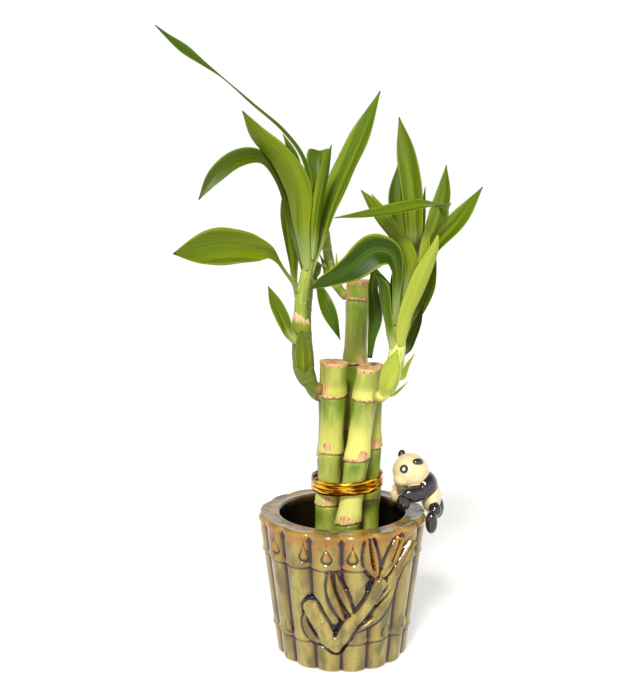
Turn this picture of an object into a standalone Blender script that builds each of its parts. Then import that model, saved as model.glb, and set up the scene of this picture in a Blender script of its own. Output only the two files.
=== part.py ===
"""Lucky bamboo: five cut stalks tied with gold foil, their leafy side shoots, a glazed pot and its panda.

The origin is the centre of the pot's underside, +Z is up and -Y is the front. Shapes are worked out in
millimetres and written in metres.
"""

import math

import bmesh
import bpy
import numpy as np
from mathutils import Matrix, Vector

MM = 0.001

POT_HEIGHT = 80.0
POT_BASE_RADIUS = 36.4
POT_RIM_RADIUS = 47.0
POT_BORE_RADIUS = 35.0
POT_BORE_FOOT_RADIUS = 29.0
POT_FLOOR = 6.0
POT_CULMS = 16
POT_CULM_SWELL = 1.5
POT_STEPS_PER_CULM = 6
POT_NODE_LEVELS = (20.0, 62.0)
POT_NODE_DEPTH = 0.7

STALK_RADIUS = 6.8
STALK_NODE_SWELL = 0.6
STALK_FOOT = 6.6
STALK_SIDES = 12

TIE_CENTRE = (2.6, 1.3, 97.0)
TIE_RADII = (19.3, 24.8)
TIE_TILT = (0.058, -0.064)
TIE_WIDTH = 7.5
TIE_THICKNESS = 0.7

LEAF_STATIONS = 12
LEAF_THICKNESS = 0.7

COLOURS = {
    "glaze": (0.27, 0.25, 0.05),
    "cream": (0.91, 0.79, 0.48),
    "foil": (1.0, 0.62, 0.05),
    "stalk": (0.36, 0.47, 0.05),
    "shoot": (0.39, 0.58, 0.13),
    "leaf": (0.13, 0.33, 0.02),
    "deep_leaf": (0.06, 0.18, 0.01),
    "sheath": (0.45, 0.62, 0.16),
}

# name: foot (x, y), top (x, y, z), heights of the node rings
STALKS = {
    "stalk_front_left": ((-12.6, -5.2), (-3.9, -8.0, 165.0), (30.0, 58.0, 86.0, 115.0, 147.0)),
    "stalk_front_right": ((-6.4, -19.2), (13.8, -12.0, 163.0), (17.0, 46.0, 78.0, 113.0, 146.0)),
    "stalk_right": ((12.9, -1.0), (15.9, 3.5, 161.8), (28.0, 58.0, 87.0, 116.0, 147.0)),
    "stalk_tall": ((1.2, 19.8), (8.8, 15.4, 207.5), (24.0, 56.0, 90.0, 124.0, 160.0, 196.5)),
    "stalk_back_left": ((-9.5, 9.6), (-6.2, 7.5, 163.6), (36.0, 64.0, 82.0, 109.0, 142.0)),
}

# name: centre line (x, y, z, radius)
SHOOTS = {
    "shoot_front_left": (
        (-15.7, -9.5, 152.0, 3.2), (-18.4, -10, 155.5, 4.4), (-20.9, -10.5, 161.0, 5.1),
        (-21.5, -10.5, 167.5, 5.2), (-22.1, -10, 175.0, 5.0), (-22.5, -9.5, 183.0, 4.3),
        (-23.0, -9, 191.0, 3.5), (-22.7, -8.5, 199.0, 3.3), (-20.9, -7.5, 208.0, 3.2),
        (-18.2, -6, 220.0, 2.8), (-15.5, -3.5, 235.0, 1.4),
    ),
    "shoot_back_left": (
        (-15.6, 8.9, 144.5, 2.8), (-19.2, 11, 152.0, 3.6), (-19.9, 12.5, 168.0, 3.4),
        (-20.2, 12, 186.0, 2.8), (-18.2, 12, 208.0, 2.5), (-15.2, 11, 230.0, 1.4),
    ),
    "shoot_tall": (
        (-0.6, 13.5, 201.0, 2.4), (-4.6, 10.5, 207.5, 2.9), (-7.6, 8.5, 219.0, 2.7),
        (-9.2, 8, 231.0, 2.4), (-10.0, 8, 246.0, 1.2),
    ),
    "shoot_front_right": (
        (20.7, -19.8, 149.5, 3.2), (22.9, -19.9, 153.5, 4.3), (25.7, -18.4, 159.0, 4.8),
        (27.6, -16.2, 165.5, 4.6), (28.7, -14.2, 173.0, 4.4), (29.3, -13, 184.0, 4.1),
        (31.0, -11, 197.0, 3.6), (34.0, -9.8, 210.0, 2.8), (36.8, -8.4, 221.0, 1.5),
    ),
    "shoot_right": (
        (24.6, 5.9, 149.5, 2.8), (28.6, 8, 157.5, 3.4), (31.8, 9, 170.0, 3.2),
        (35.2, 8, 186.0, 2.8), (37.6, 8, 203.0, 2.4), (39.2, 9, 217.0, 1.2),
    ),
}

# name: (spine points x, y, z, width), upper side's direction at the base and at the tip, fold in degrees
# at the base and at the tip, colour
LEAVES = {
    "left_leaf_long": (
        ((-21.0, 8, 224, 5), (-20.5, 7, 246, 6), (-19.0, 5.5, 262, 5), (-22.5, 4, 275, 4),
         (-32.0, 2, 288, 3), (-48.5, -3, 302.5, 2), (-64, -7, 316, 1.1), (-74, -9, 323, 3.6),
         (-83, -10, 329.5, 6.2), (-92, -11, 336.8, 2.6), (-97, -12, 341.5, 0.4)),
        (0.9, -0.5, 0.2), (0.3, -0.9, 0.4), 50, 15, "leaf"),
    "left_leaf_arching": (
        ((-19.8, -13.8, 216, 6), (-22.5, -15, 238, 10), (-24.5, -16, 258, 16), (-33, -18, 274, 13.5),
         (-45, -21, 286.5, 9.5), (-52, -24, 298, 0.4)),
        (0.2, 1, 0.2), (0.3, 0.9, 0.3), 28, 12, "leaf"),
    "left_leaf_drooping": (
        ((-24.8, -4, 216, 4), (-29.5, -4, 240, 5.5), (-34, -6, 260, 6), (-43, -14, 274, 8),
         (-56, -27, 273, 10), (-66, -34, 264.5, 8), (-73.5, -38, 253.5, 0.4)),
        (0.9, -0.4, 0.2), (0.1, -0.9, 0.4), 32, 10, "leaf"),
    "left_leaf_side": (
        ((-27.2, -13.8, 204, 2.8), (-30.5, -18.5, 213.5, 2.6), (-34.8, -23, 221.5, 3.4), (-39, -26, 226, 8),
         (-45.5, -29, 227.6, 15), (-55, -33, 229.0, 19.5), (-65.5, -37, 229.0, 20.5), (-76, -41, 227.6, 14),
         (-86, -46, 227, 0.4)),
        (0.5, -0.8, 0.5), (0, -0.95, 0.35), 20, 10, "leaf"),
    "left_leaf_broad": (
        ((-26.9, -5.6, 199, 4.6), (-28.5, -1, 219, 11), (-30.5, 3, 240, 14), (-31, 9, 260.5, 0.4)),
        (1, -0.2, 0), (0.5, -0.9, 0.2), 25, 12, "leaf"),
    "left_leaf_centre": (
        ((-15.2, -10.4, 221, 6), (-14.8, -13.5, 237, 7.6), (-12.4, -16.5, 255, 8.2), (-9.6, -17, 268, 7.0),
         (-6.5, -17, 281, 0.4)),
        (-0.2, 1, 0.2), (-0.2, 1, 0.2), 50, 40, "leaf"),
    "left_leaf_bright": (
        ((-13.3, -7.5, 212, 6), (-10.5, -6, 230, 9), (-6.5, -5, 246, 14.5), (0.5, -3, 264, 17.5),
         (10.5, 0, 287, 13.5), (19.5, 3, 309.5, 0.4)),
        (-0.7, -0.5, 0.3), (-0.5, -0.8, 0.4), 30, 12, "leaf"),
    "left_leaf_curled": (
        ((-13.0, 12.5, 240, 4), (-13.2, 14, 254, 8), (-13.5, 17, 268, 13), (-13, 23, 277.5, 12),
         (-12, 32, 278, 0.4)),
        (-0.2, -1, 0), (0, -0.3, 1), 25, 15, "leaf"),
    "left_leaf_short": (
        ((-19.5, 13, 232, 4.5), (-24, 12.5, 258, 8.5), (-27.5, 12, 275, 7.5), (-32.5, 12, 287, 0.4)),
        (0.9, -0.4, 0.2), (0.6, -0.8, 0.3), 25, 12, "leaf"),
    "left_leaf_low": (
        ((-28.0, -17, 176.5, 4.5), (-30.4, -18, 184.5, 7.4), (-33.2, -20, 192, 8.6), (-36.4, -21, 199.7, 7.0),
         (-39.6, -22, 208.2, 0.4)),
        (0.5, -0.8, 0.2), (0.2, -0.95, 0.2), 28, 12, "leaf"),
    "left_sheath_front": (
        ((-21.0, -17.2, 160, 8), (-21.7, -17.6, 172, 9.4), (-22.4, -16, 183.5, 1.2)),
        (0, 1, 0), (0, 1, 0), 30, 30, "deep_leaf"),
    "left_sheath_side": (
        ((-27.6, -11, 160.5, 5), (-28.5, -11.5, 172, 6), (-29.0, -11.5, 184, 5.5), (-28.2, -10, 193, 5),
         (-27.3, -9.5, 200, 0.6)),
        (1, 0, 0), (1, 0.1, 0), 24, 24, "sheath"),
    "tall_leaf_drooping": (
        ((-11.4, 5.5, 212, 4), (-14.2, 3, 216.5, 7), (-16.5, 0, 212, 8), (-12.5, -3, 202, 8.5),
         (-6.5, -4, 190, 8), (-1.5, -5, 177, 0.4)),
        (0.5, 0.4, 0.6), (-0.4, -0.9, 0), 25, 10, "leaf"),
    "tall_sheath_left": (
        ((-8.4, 4.6, 205.5, 4), (-10.2, 4.9, 215.5, 3.2), (-12.8, 5, 223, 0.4)),
        (0.4, 1, 0), (0.4, 0.8, 0.4), 30, 20, "leaf"),
    "tall_sheath_right": (
        ((-0.9, 8.5, 206.5, 4.5), (-2.6, 7, 215, 4), (-3.6, 6.5, 223, 0.4)),
        (-0.8, 0.4, 0.2), (-0.8, 0.4, 0.2), 30, 20, "sheath"),
    "right_leaf_upright": (
        ((38.6, -3, 217, 7), (38.5, 0, 238, 10), (36.5, 3, 262, 12.5), (33.5, 6, 279, 10), (30, 9, 296, 0.4)),
        (-0.2, -1, 0), (-0.3, -1, 0), 25, 14, "leaf"),
    "right_leaf_behind": (
        ((36.5, 12, 213, 5), (33, 15, 232, 9), (29.5, 18, 254, 9.5), (30.5, 22, 270.5, 0.4)),
        (0.1, -1, 0), (0, -1, 0.2), 25, 12, "leaf"),
    "right_leaf_small": (
        ((40.5, 13.5, 212, 4), (43.5, 16, 236, 6), (45.5, 19, 258.5, 0.4)),
        (-0.6, -0.8, 0), (-0.5, -0.8, 0), 25, 15, "leaf"),
    "right_leaf_rear_tip": (
        ((42.8, 7, 214, 5), (48.5, 9, 234, 9), (54.5, 12, 252, 10), (56.5, 15, 270.5, 0.4)),
        (-0.6, -0.8, 0.2), (-0.3, -0.95, 0), 25, 12, "leaf"),
    "right_leaf_outward": (
        ((40.2, -8.5, 213, 6.5), (48.3, -12.4, 228, 9.4), (59.8, -17.4, 242, 11), (71.5, -21, 259.5, 0.4)),
        (-0.6, -0.7, 0.4), (-0.3, -0.95, 0.2), 25, 10, "leaf"),
    "right_leaf_level": (
        ((44.5, 1.5, 218, 5), (50.4, -4, 234, 6.4), (54, -16.6, 247.4, 8.2), (43.6, -26.6, 250, 11),
         (20, -33, 246.5, 10), (-5.5, -39, 244.5, 0.4)),
        (-0.8, -0.4, 0.4), (0.0, -0.5, 0.85), 28, 12, "leaf"),
    "right_leaf_deep": (
        ((26.3, -18.6, 187, 4.6), (26.6, -19.6, 197, 5.2), (27.2, -21.5, 208, 6), (27.0, -24, 217.5, 8),
         (23.5, -27.5, 225.6, 14), (16.5, -30.5, 227.2, 18), (2.8, -36, 218.4, 14.5),
         (-4.8, -39.5, 214.8, 9.5), (-12.5, -43, 211.8, 5.5), (-17.9, -46, 209.3, 0.4)),
        (0.5, -0.8, 0.3), (0.2, -0.95, 0.3), 22, 10, "deep_leaf"),
    "right_leaf_strip": (
        ((31.4, -16.0, 201, 4.2), (34.2, -17.8, 214.2, 9.5), (32.3, -19, 225.5, 10.5), (27, -20, 234.6, 9),
         (21.2, -21, 241.9, 9), (15.4, -22, 249.7, 7), (8.6, -23, 257.9, 0.4)),
        (0.2, 1, 0.2), (0.3, 0.95, 0.2), 25, 12, "leaf"),
    "right_leaf_strip_behind": (
        ((32.0, 7.5, 208, 4), (29, 6, 228, 7), (22.5, 6, 243, 6.5), (15.5, 6, 255, 0.4)),
        (0.6, -0.6, 0.4), (0.4, -0.8, 0.4), 25, 12, "leaf"),
    "right_leaf_heart": (
        ((41.6, -13.6, 212.5, 4), (43.2, -16.5, 229, 6.5), (43.5, -18.5, 242, 0.4)),
        (-0.5, -0.9, 0.2), (-0.5, -0.9, 0.2), 30, 25, "sheath"),
    "right_leaf_clasping": (
        ((30.4, -20.8, 176, 6.4), (31.0, -21.2, 184, 8), (33.2, -21.4, 194.4, 8.8),
         (36.8, -21.8, 203.4, 10.4), (40.6, -22, 212.4, 10.6), (44.3, -22, 220.8, 8.6),
         (47.2, -22.5, 228.1, 5.5), (49, -22.5, 236, 0.4)),
        (0, 1, 0.1), (-0.3, 1, 0.1), 28, 22, "sheath"),
    "right_leaf_yellow": (
        ((37.8, 3.2, 183, 4), (42.6, 3.6, 194, 8.5), (46.8, 4, 205, 9), (48.8, 4, 216, 5.5),
         (50.2, 4.2, 226, 0.4)),
        (-0.4, -0.9, 0.2), (-0.4, -0.9, 0.2), 24, 12, "leaf"),
    "right_leaf_bent": (
        ((23.9, -18.9, 174.5, 4.6), (23.6, -20, 184.7, 6), (21.9, -21, 194.4, 6.6), (20.7, -22.2, 203, 8),
         (19.6, -24.2, 209.3, 7), (16.2, -27.6, 214.6, 0.4)),
        (0.6, 0.8, 0.1), (0.55, 0.6, 0.6), 28, 12, "leaf"),
    "right_leaf_inner": (
        ((24.8, -7.6, 185, 5.4), (26, -7.5, 198, 8.5), (27, -7, 210, 8), (28.5, -6, 222, 0.4)),
        (0.9, -0.4, 0), (0.5, -0.9, 0), 28, 15, "leaf"),
    "right_leaf_hanging": (
        ((31.2, 4.6, 190, 3.4), (28, 2.5, 199, 4.5), (22.5, 0.5, 208.5, 6), (17.6, -1.5, 213.2, 7),
         (15.6, -3, 206.6, 7), (16.8, -4, 195.4, 8.2), (17.2, -4.6, 187.9, 8), (15.6, -5, 178, 5),
         (14.6, -4.6, 167, 2.6)),
        (0.5, 0.4, 0.6), (-0.2, -1, 0), 22, 12, "deep_leaf"),
    "right_sheath_outer": (
        ((31.8, -19.0, 156.9, 4.2), (34.5, -20.3, 165.6, 4.6), (37.7, -21.5, 172.6, 0.4)),
        (-0.6, 0.8, 0.1), (-0.8, 0.5, 0.1), 24, 18, "sheath"),
    "right_sheath_front": (
        ((20.6, -25.2, 150, 7), (22.6, -26.4, 158, 9.8), (25.2, -24.8, 167, 9), (28.2, -22.4, 174.3, 0.8)),
        (0.2, 1, 0), (0.3, 0.95, 0), 20, 20, "sheath"),
    "right_sheath_low": (
        ((25.3, -20.4, 148.6, 3), (29.0, -21.1, 151.6, 4.4), (34.2, -22, 157.4, 0.4)),
        (-0.4, 0.4, 0.8), (-0.6, 0.3, 0.7), 24, 18, "sheath"),
    "right_leaf_lower": (
        ((35.0, 2.0, 166, 4.2), (37.8, 1.0, 176, 6.4), (41.2, 0.2, 186, 5.6), (43.4, -0.6, 195, 0.4)),
        (-0.5, -0.8, 0.3), (-0.5, -0.8, 0.3), 26, 15, "deep_leaf"),
}

# centre, radii and turn about Z in degrees of the rounded masses that make up the panda
PANDA_MASSES = (
    ((37.6, -3.0, 103.4), (10.2, 10.4, 10.0), 33),
    ((33.0, -7.4, 99.6), (4.6, 5.0, 4.2), 33),
    ((33.2, 3.6, 110.6), (2.6, 2.2, 3.2), 33),
    ((41.0, -8.8, 109.6), (3.6, 2.2, 2.4), 33),
    ((45.6, -2.0, 95.0), (7.6, 10.6, 8.4), 0),
    ((49.4, -1.0, 88.0), (5.8, 10.4, 9.4), 0),
    ((40.2, -11.0, 92.4), (8.8, 3.9, 4.8), 18),
    ((33.4, -11.6, 88.0), (4.2, 3.8, 5.0), 0),
    ((36.4, 6.6, 90.6), (8.6, 3.8, 4.6), -12),
    ((30.4, 5.4, 87.0), (3.6, 3.4, 4.4), 0),
    ((50.4, -10.6, 84.0), (4.2, 5.0, 4.8), 0),
    ((48.6, -15.2, 77.6), (3.8, 4.2, 6.6), 0),
    ((53.4, 4.8, 80.0), (4.2, 4.2, 6.8), 0),
)


def remove_everything():
    for thing in list(bpy.data.objects):
        bpy.data.objects.remove(thing, do_unlink=True)


def finish(name, verts, faces, colour, roughness=0.45, metallic=0.0):
    """Makes one closed, outward-facing object with its own material; verts are in millimetres."""
    mesh = bpy.data.meshes.new(name)
    mesh.from_pydata([tuple(c * MM for c in v) for v in verts], [], faces)
    body = bmesh.new()
    body.from_mesh(mesh)
    bmesh.ops.recalc_face_normals(body, faces=body.faces)
    if body.calc_volume(signed=True) < 0:
        bmesh.ops.reverse_faces(body, faces=body.faces)
    body.to_mesh(mesh)
    body.free()
    thing = bpy.data.objects.new(name, mesh)
    bpy.context.scene.collection.objects.link(thing)
    material = bpy.data.materials.new(name + "_surface")
    material.use_nodes = True
    shader = material.node_tree.nodes["Principled BSDF"]
    shader.inputs["Base Color"].default_value = (*COLOURS[colour], 1.0)
    shader.inputs["Roughness"].default_value = roughness
    shader.inputs["Metallic"].default_value = metallic
    mesh.materials.append(material)
    return thing


def smooth(rows, count):
    """Rows of numbers along a curve, resampled to `count` even steps of a Catmull-Rom spline."""
    rows = np.array(rows, dtype=float)
    gaps = np.linalg.norm(np.diff(rows[:, :3], axis=0), axis=1)
    knots = np.concatenate([[0.0], np.cumsum(gaps)])
    slopes = np.gradient(rows, knots, axis=0)
    result = []
    for at in np.linspace(0.0, knots[-1], count):
        i = min(int(np.searchsorted(knots, at, side="right")) - 1, len(gaps) - 1)
        h = gaps[i]
        t = (at - knots[i]) / h
        row = (
            (2 * t**3 - 3 * t**2 + 1) * rows[i]
            + (t**3 - 2 * t**2 + t) * h * slopes[i]
            + (3 * t**2 - 2 * t**3) * rows[i + 1]
            + (t**3 - t**2) * h * slopes[i + 1]
        )
        result.append(row)
    return np.array(result)


def unit(v):
    return v / np.linalg.norm(v)


def skin_rings(rings):
    """Faces that join equal rings of vertices in order and close both ends with flat caps."""
    count = len(rings[0])
    verts = [p for ring in rings for p in ring]
    faces = []
    for r in range(len(rings) - 1):
        for i in range(count):
            j = (i + 1) % count
            faces.append((r * count + i, r * count + j, (r + 1) * count + j, (r + 1) * count + i))
    faces.append(tuple(range(count)))
    faces.append(tuple((len(rings) - 1) * count + i for i in range(count)))
    return verts, faces


def skin_blade(rings):
    """Faces over rings of left margin, keel, right margin and midrib; both sides split their quads alike."""
    count = len(rings)
    faces = [(0, 1, 2, 3), tuple(4 * (count - 1) + i for i in range(4))]
    for a in range(0, 4 * (count - 1), 4):
        for margin in (a, a + 2):
            for middle in (a + 1, a + 3):
                faces.append((margin, middle, middle + 4))
                faces.append((margin, middle + 4, margin + 4))
    return [p for ring in rings for p in ring], faces


def tube(name, rows, sides, colour):
    """A round bar along rows of (x, y, z, radius)."""
    spine = rows[:, :3]
    tangents = np.gradient(spine, axis=0)
    side = unit(np.cross(tangents[0], (0.0, 1.0, 0.0)))
    rings = []
    for centre, tangent, radius in zip(spine, tangents, rows[:, 3]):
        tangent = unit(tangent)
        side = unit(side - tangent * side.dot(tangent))
        other = np.cross(tangent, side)
        angles = [2 * math.pi * k / sides for k in range(sides)]
        rings.append([centre + radius * (math.cos(a) * side + math.sin(a) * other) for a in angles])
    return finish(name, *skin_rings(rings), colour)


def leaf(name, spine, base_up, tip_up, base_fold, tip_fold, colour):
    """A folded blade: thickest along its midrib and drawn down to sharp margins."""
    rows = smooth(spine, LEAF_STATIONS)
    tangents = np.gradient(rows[:, :3], axis=0)
    rings = []
    for i, row in enumerate(rows):
        t = i / (LEAF_STATIONS - 1)
        tangent = unit(tangents[i])
        wanted = unit(np.array(base_up, dtype=float)) * (1 - t) + unit(np.array(tip_up, dtype=float)) * t
        across = unit(np.cross(tangent, wanted))
        upward = np.cross(across, tangent)
        fold = math.radians(base_fold * (1 - t) + tip_fold * t)
        half = max(row[3], 0.4) / 2
        reach = across * half * math.cos(fold)
        lift = upward * half * math.sin(fold)
        thick = upward * LEAF_THICKNESS * (0.35 + 0.65 * min(1.0, half / 2.5))
        centre = row[:3]
        rings.append([centre - reach + lift, centre - thick, centre + reach + lift, centre])
    return finish(name, *skin_blade(rings), colour)


def stalk(name, foot, top, nodes):
    """A straight cut stalk with a raised ring at each node and a flat cut at the top."""
    levels = {STALK_FOOT: -0.2, top[2]: -0.1}
    for z in nodes:
        for offset, swell in ((-3.0, 0.1), (-0.9, 1.0), (0.9, 1.0), (3.0, 0.2)):
            if STALK_FOOT < z + offset < top[2]:
                levels[z + offset] = swell
    rows = []
    for z in sorted(levels):
        t = (z - STALK_FOOT) / (top[2] - STALK_FOOT)
        x = foot[0] + (top[0] - foot[0]) * t
        y = foot[1] + (top[1] - foot[1]) * t
        rows.append((x, y, z, STALK_RADIUS + STALK_NODE_SWELL * levels[z]))
    rings = []
    for x, y, z, radius in rows:
        angles = [2 * math.pi * k / STALK_SIDES for k in range(STALK_SIDES)]
        rings.append([(x + radius * math.cos(a), y + radius * math.sin(a), z) for a in angles])
    return finish(name, *skin_rings(rings), "stalk")


def culm_swell(angle):
    """How far the pot's wall stands out between the seams of two culms, from 0 to 1."""
    phase = (angle / (2 * math.pi) * POT_CULMS) % 1.0
    return math.sqrt(max(0.0, 1.0 - (2 * phase - 1) ** 2))


def pot_outline():
    """(radius, z, share of the culm swell) from the underside round to the pot's floor."""
    def wall(z):
        return POT_BASE_RADIUS + (POT_RIM_RADIUS - POT_BASE_RADIUS) * z / POT_HEIGHT - POT_CULM_SWELL

    rows = [(wall(0.0) - 1.4, 0.0, 0.6), (wall(1.6), 1.6, 1.0)]
    for level in POT_NODE_LEVELS:
        for offset, depth in ((-2.2, 0.0), (0.0, POT_NODE_DEPTH), (2.2, 0.0)):
            rows.append((wall(level + offset) - depth, level + offset, 1.0))
    rows += [(wall(77.5), 77.5, 1.0), (wall(80.0) - 1.2, POT_HEIGHT, 0.8)]
    rows += [(POT_BORE_RADIUS + 1.0, POT_HEIGHT, 0.0), (POT_BORE_RADIUS, 78.6, 0.0)]
    rows += [(POT_BORE_FOOT_RADIUS, POT_FLOOR + 3.0, 0.0), (POT_BORE_FOOT_RADIUS - 1.2, POT_FLOOR, 0.0)]
    return rows


def relief_limb(rows):
    """Part of the branch that stands out of the pot's wall, along (angle from the front, z, radius)."""
    points = []
    for degrees, z, radius in rows:
        angle = math.radians(degrees - 90.0)
        reach = POT_BASE_RADIUS + (POT_RIM_RADIUS - POT_BASE_RADIUS) * z / POT_HEIGHT - 0.8
        points.append((reach * math.cos(angle), reach * math.sin(angle), z, radius))
    return tube("relief", smooth(points, 7), 8, "glaze")


def fuse(body, additions, cuts=()):
    """Joins the additions to the body and takes the cuts out of it, as one closed mesh."""
    for others, operation in ((additions, "UNION"), (cuts, "DIFFERENCE")):
        for other in others:
            step = body.modifiers.new(operation, "BOOLEAN")
            step.operation = operation
            step.solver = "EXACT"
            step.object = other
    bpy.context.view_layer.update()
    graph = bpy.context.evaluated_depsgraph_get()
    mesh = bpy.data.meshes.new_from_object(body.evaluated_get(graph))
    body.modifiers.clear()
    body.data = mesh
    material = mesh.materials[0]
    mesh.materials.clear()
    mesh.materials.append(material)
    for other in (*additions, *cuts):
        bpy.data.objects.remove(other, do_unlink=True)
    return body


def pot():
    """The tapered pot: a solid base, sixteen culms round its outside, a flat rim and an open bore."""
    count = POT_CULMS * POT_STEPS_PER_CULM
    rings = []
    for radius, z, share in pot_outline():
        ring = []
        for k in range(count):
            angle = 2 * math.pi * k / count
            reach = radius + POT_CULM_SWELL * share * culm_swell(angle)
            ring.append((reach * math.cos(angle), reach * math.sin(angle), z))
        rings.append(ring)
    body = finish("pot", *skin_rings(rings), "glaze", roughness=0.15)
    limbs = [
        relief_limb(((-20.5, 39, 3.4), (-16, 28, 3.4), (-8, 17.5, 3.2))),
        relief_limb(((-6, 17, 3.0), (6.5, 30.6, 3.0), (20, 43.6, 2.6), (29, 52.5, 2.4))),
        relief_limb(((33, 47, 1.2), (45, 58, 2.6), (52, 71, 0.8))),
        relief_limb(((6, 33, 1.0), (0.5, 44, 2.0), (-5.5, 57, 0.6))),
    ]
    return fuse(body, limbs)


def tie():
    """The foil band: an oval strip with three ridges round the stalks, a little higher at the front."""
    section = ((0.0, -1.0), (0.9, -0.75), (0.5, -0.3), (1.0, 0.0), (0.5, 0.3), (0.9, 0.75), (0.0, 1.0))
    count, width = 48, len(section)
    verts = []
    for k in range(count):
        angle = 2 * math.pi * k / count
        for depth, height in section:
            x = (TIE_RADII[0] + depth * TIE_THICKNESS) * math.cos(angle)
            y = (TIE_RADII[1] + depth * TIE_THICKNESS) * math.sin(angle)
            z = TIE_TILT[0] * x + TIE_TILT[1] * y + height * TIE_WIDTH / 2
            verts.append((TIE_CENTRE[0] + x, TIE_CENTRE[1] + y, TIE_CENTRE[2] + z))
    faces = []
    for k in range(count):
        n = (k + 1) % count
        for i in range(width):
            j = (i + 1) % width
            faces.append((k * width + i, k * width + j, n * width + j, n * width + i))
    return finish("gold_tie", verts, faces, "foil", roughness=0.2, metallic=1.0)


def ellipsoid(centre, radii, turn):
    body = bmesh.new()
    bmesh.ops.create_uvsphere(body, u_segments=12, v_segments=8, radius=1.0)
    spin = Matrix.Rotation(math.radians(turn), 3, "Z")
    verts = [Vector(centre) + spin @ Vector(a * b for a, b in zip(v.co, radii)) for v in body.verts]
    faces = [tuple(v.index for v in f.verts) for f in body.faces]
    body.free()
    return finish("mass", verts, faces, "cream")


def panda():
    """The little figure that hangs over the rim, a hair clear of the pot's wall and rim."""
    masses = [ellipsoid(*mass) for mass in PANDA_MASSES]
    clear = []
    for z in (POT_HEIGHT / 2, POT_HEIGHT + 0.4):
        reach = POT_BASE_RADIUS + (POT_RIM_RADIUS - POT_BASE_RADIUS) * z / POT_HEIGHT + 0.5
        angles = [2 * math.pi * k / 64 for k in range(64)]
        clear.append([(reach * math.cos(a), reach * math.sin(a), z) for a in angles])
    room = finish("room", *skin_rings(clear), "cream")
    body = fuse(masses[0], masses[1:], [room])
    body.name = "panda"
    body.data.name = "panda"
    return body


def main():
    remove_everything()
    pot()
    panda()
    tie()
    for name, (foot, top, nodes) in STALKS.items():
        stalk(name, foot, top, nodes)
    for name, line in SHOOTS.items():
        tube(name, smooth(line, 14), 10, "shoot")
    for name, row in LEAVES.items():
        leaf(name, *row)


main()
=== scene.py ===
"""Looks of a potted lucky bamboo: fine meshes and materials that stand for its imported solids.

Shapes are worked out in millimetres and written in metres. +Z is up, -Y is the front, and the origin is the
centre of the pot's underside.
"""

import math

import bmesh
import bpy
import numpy as np
from bpy.props import FloatProperty, FloatVectorProperty, IntProperty, PointerProperty
from mathutils import Matrix, Vector


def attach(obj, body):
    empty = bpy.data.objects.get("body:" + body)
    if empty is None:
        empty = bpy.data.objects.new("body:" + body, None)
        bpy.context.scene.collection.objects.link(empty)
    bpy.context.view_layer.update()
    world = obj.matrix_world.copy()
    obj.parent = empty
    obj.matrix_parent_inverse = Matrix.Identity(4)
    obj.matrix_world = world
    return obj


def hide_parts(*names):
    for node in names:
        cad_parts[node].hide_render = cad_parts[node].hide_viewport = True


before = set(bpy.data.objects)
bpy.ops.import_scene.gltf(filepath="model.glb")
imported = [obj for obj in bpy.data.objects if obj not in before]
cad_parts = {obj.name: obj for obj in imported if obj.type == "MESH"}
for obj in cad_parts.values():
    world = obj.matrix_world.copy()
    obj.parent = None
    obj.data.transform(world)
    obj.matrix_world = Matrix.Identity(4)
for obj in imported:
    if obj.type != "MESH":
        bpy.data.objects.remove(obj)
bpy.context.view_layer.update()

bl_info = {
    "name": "Potted lucky bamboo",
    "version": (1, 0, 0),
    "blender": (4, 5, 0),
    "location": "3D View > Sidebar > Bamboo",
    "description": "Builds the leaves, stalks, foil tie, glazed pot and panda of a potted lucky bamboo",
    "category": "Add Mesh",
}

MM = 0.001
BODY = "root"


def linear(text):
    """A colour written as sRGB hex, turned to linear red, green, blue and 1 for alpha."""
    values = [int(text[i : i + 2], 16) / 255.0 for i in (1, 3, 5)]
    return (*[v / 12.92 if v <= 0.04045 else ((v + 0.055) / 1.055) ** 2.4 for v in values], 1.0)


def colour_property(name, text, description):
    return FloatVectorProperty(
        name=name, description=description, subtype="COLOR", size=4, min=0.0, max=1.0, default=linear(text)
    )


def length_property(name, value, description):
    return FloatProperty(name=name, description=description, default=value, min=0.0, unit="LENGTH")


def number_property(name, value, description):
    return FloatProperty(name=name, description=description, default=value, min=0.0)


# ---------------------------------------------------------------- shapes

# name: foot (x, y), top (x, y, z), heights of the node rings
STALKS = {
    "stalk_front_left": ((-12.6, -5.2), (-3.9, -8.0, 165.0), (30.0, 58.0, 86.0, 115.0, 147.0)),
    "stalk_front_right": ((-6.4, -19.2), (13.8, -12.0, 163.0), (17.0, 46.0, 78.0, 113.0, 146.0)),
    "stalk_right": ((12.9, -1.0), (15.9, 3.5, 161.8), (28.0, 58.0, 87.0, 116.0, 147.0)),
    "stalk_tall": ((1.2, 19.8), (8.8, 15.4, 207.5), (24.0, 56.0, 90.0, 124.0, 160.0, 196.5)),
    "stalk_back_left": ((-9.5, 9.6), (-6.2, 7.5, 163.6), (36.0, 64.0, 82.0, 109.0, 142.0)),
}
STALK_FOOT = 6.6
# How pale, 0 to 1: a pale stalk is blended towards yellow-cream; one that isn't listed keeps the plain skin
STALK_PALENESS = {"stalk_front_right": 0.75, "stalk_front_left": 0.3}
# Rings of the cut face, from its edge to the sunken pith: (share of the radius, height over the cut)
CUT_FACE_RINGS = (
    (1.0, -0.25), (0.985, 0.05), (0.93, 0.12), (0.86, -0.05), (0.7, -0.16), (0.45, -0.22), (0.2, -0.4),
    (0.06, -0.45),
)

# Points round each mesh and rows along it
LEAF_ROWS, LEAF_COLUMNS = 72, 20
STALK_SIDES = 72
SHOOT_ROWS, SHOOT_SIDES = 110, 40
CUP_ROWS = 16
TIE_SIDES = 320

# Distance between the rings that fallen leaves left on a shoot
LEAF_RING_GAP = 7.0

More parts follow.
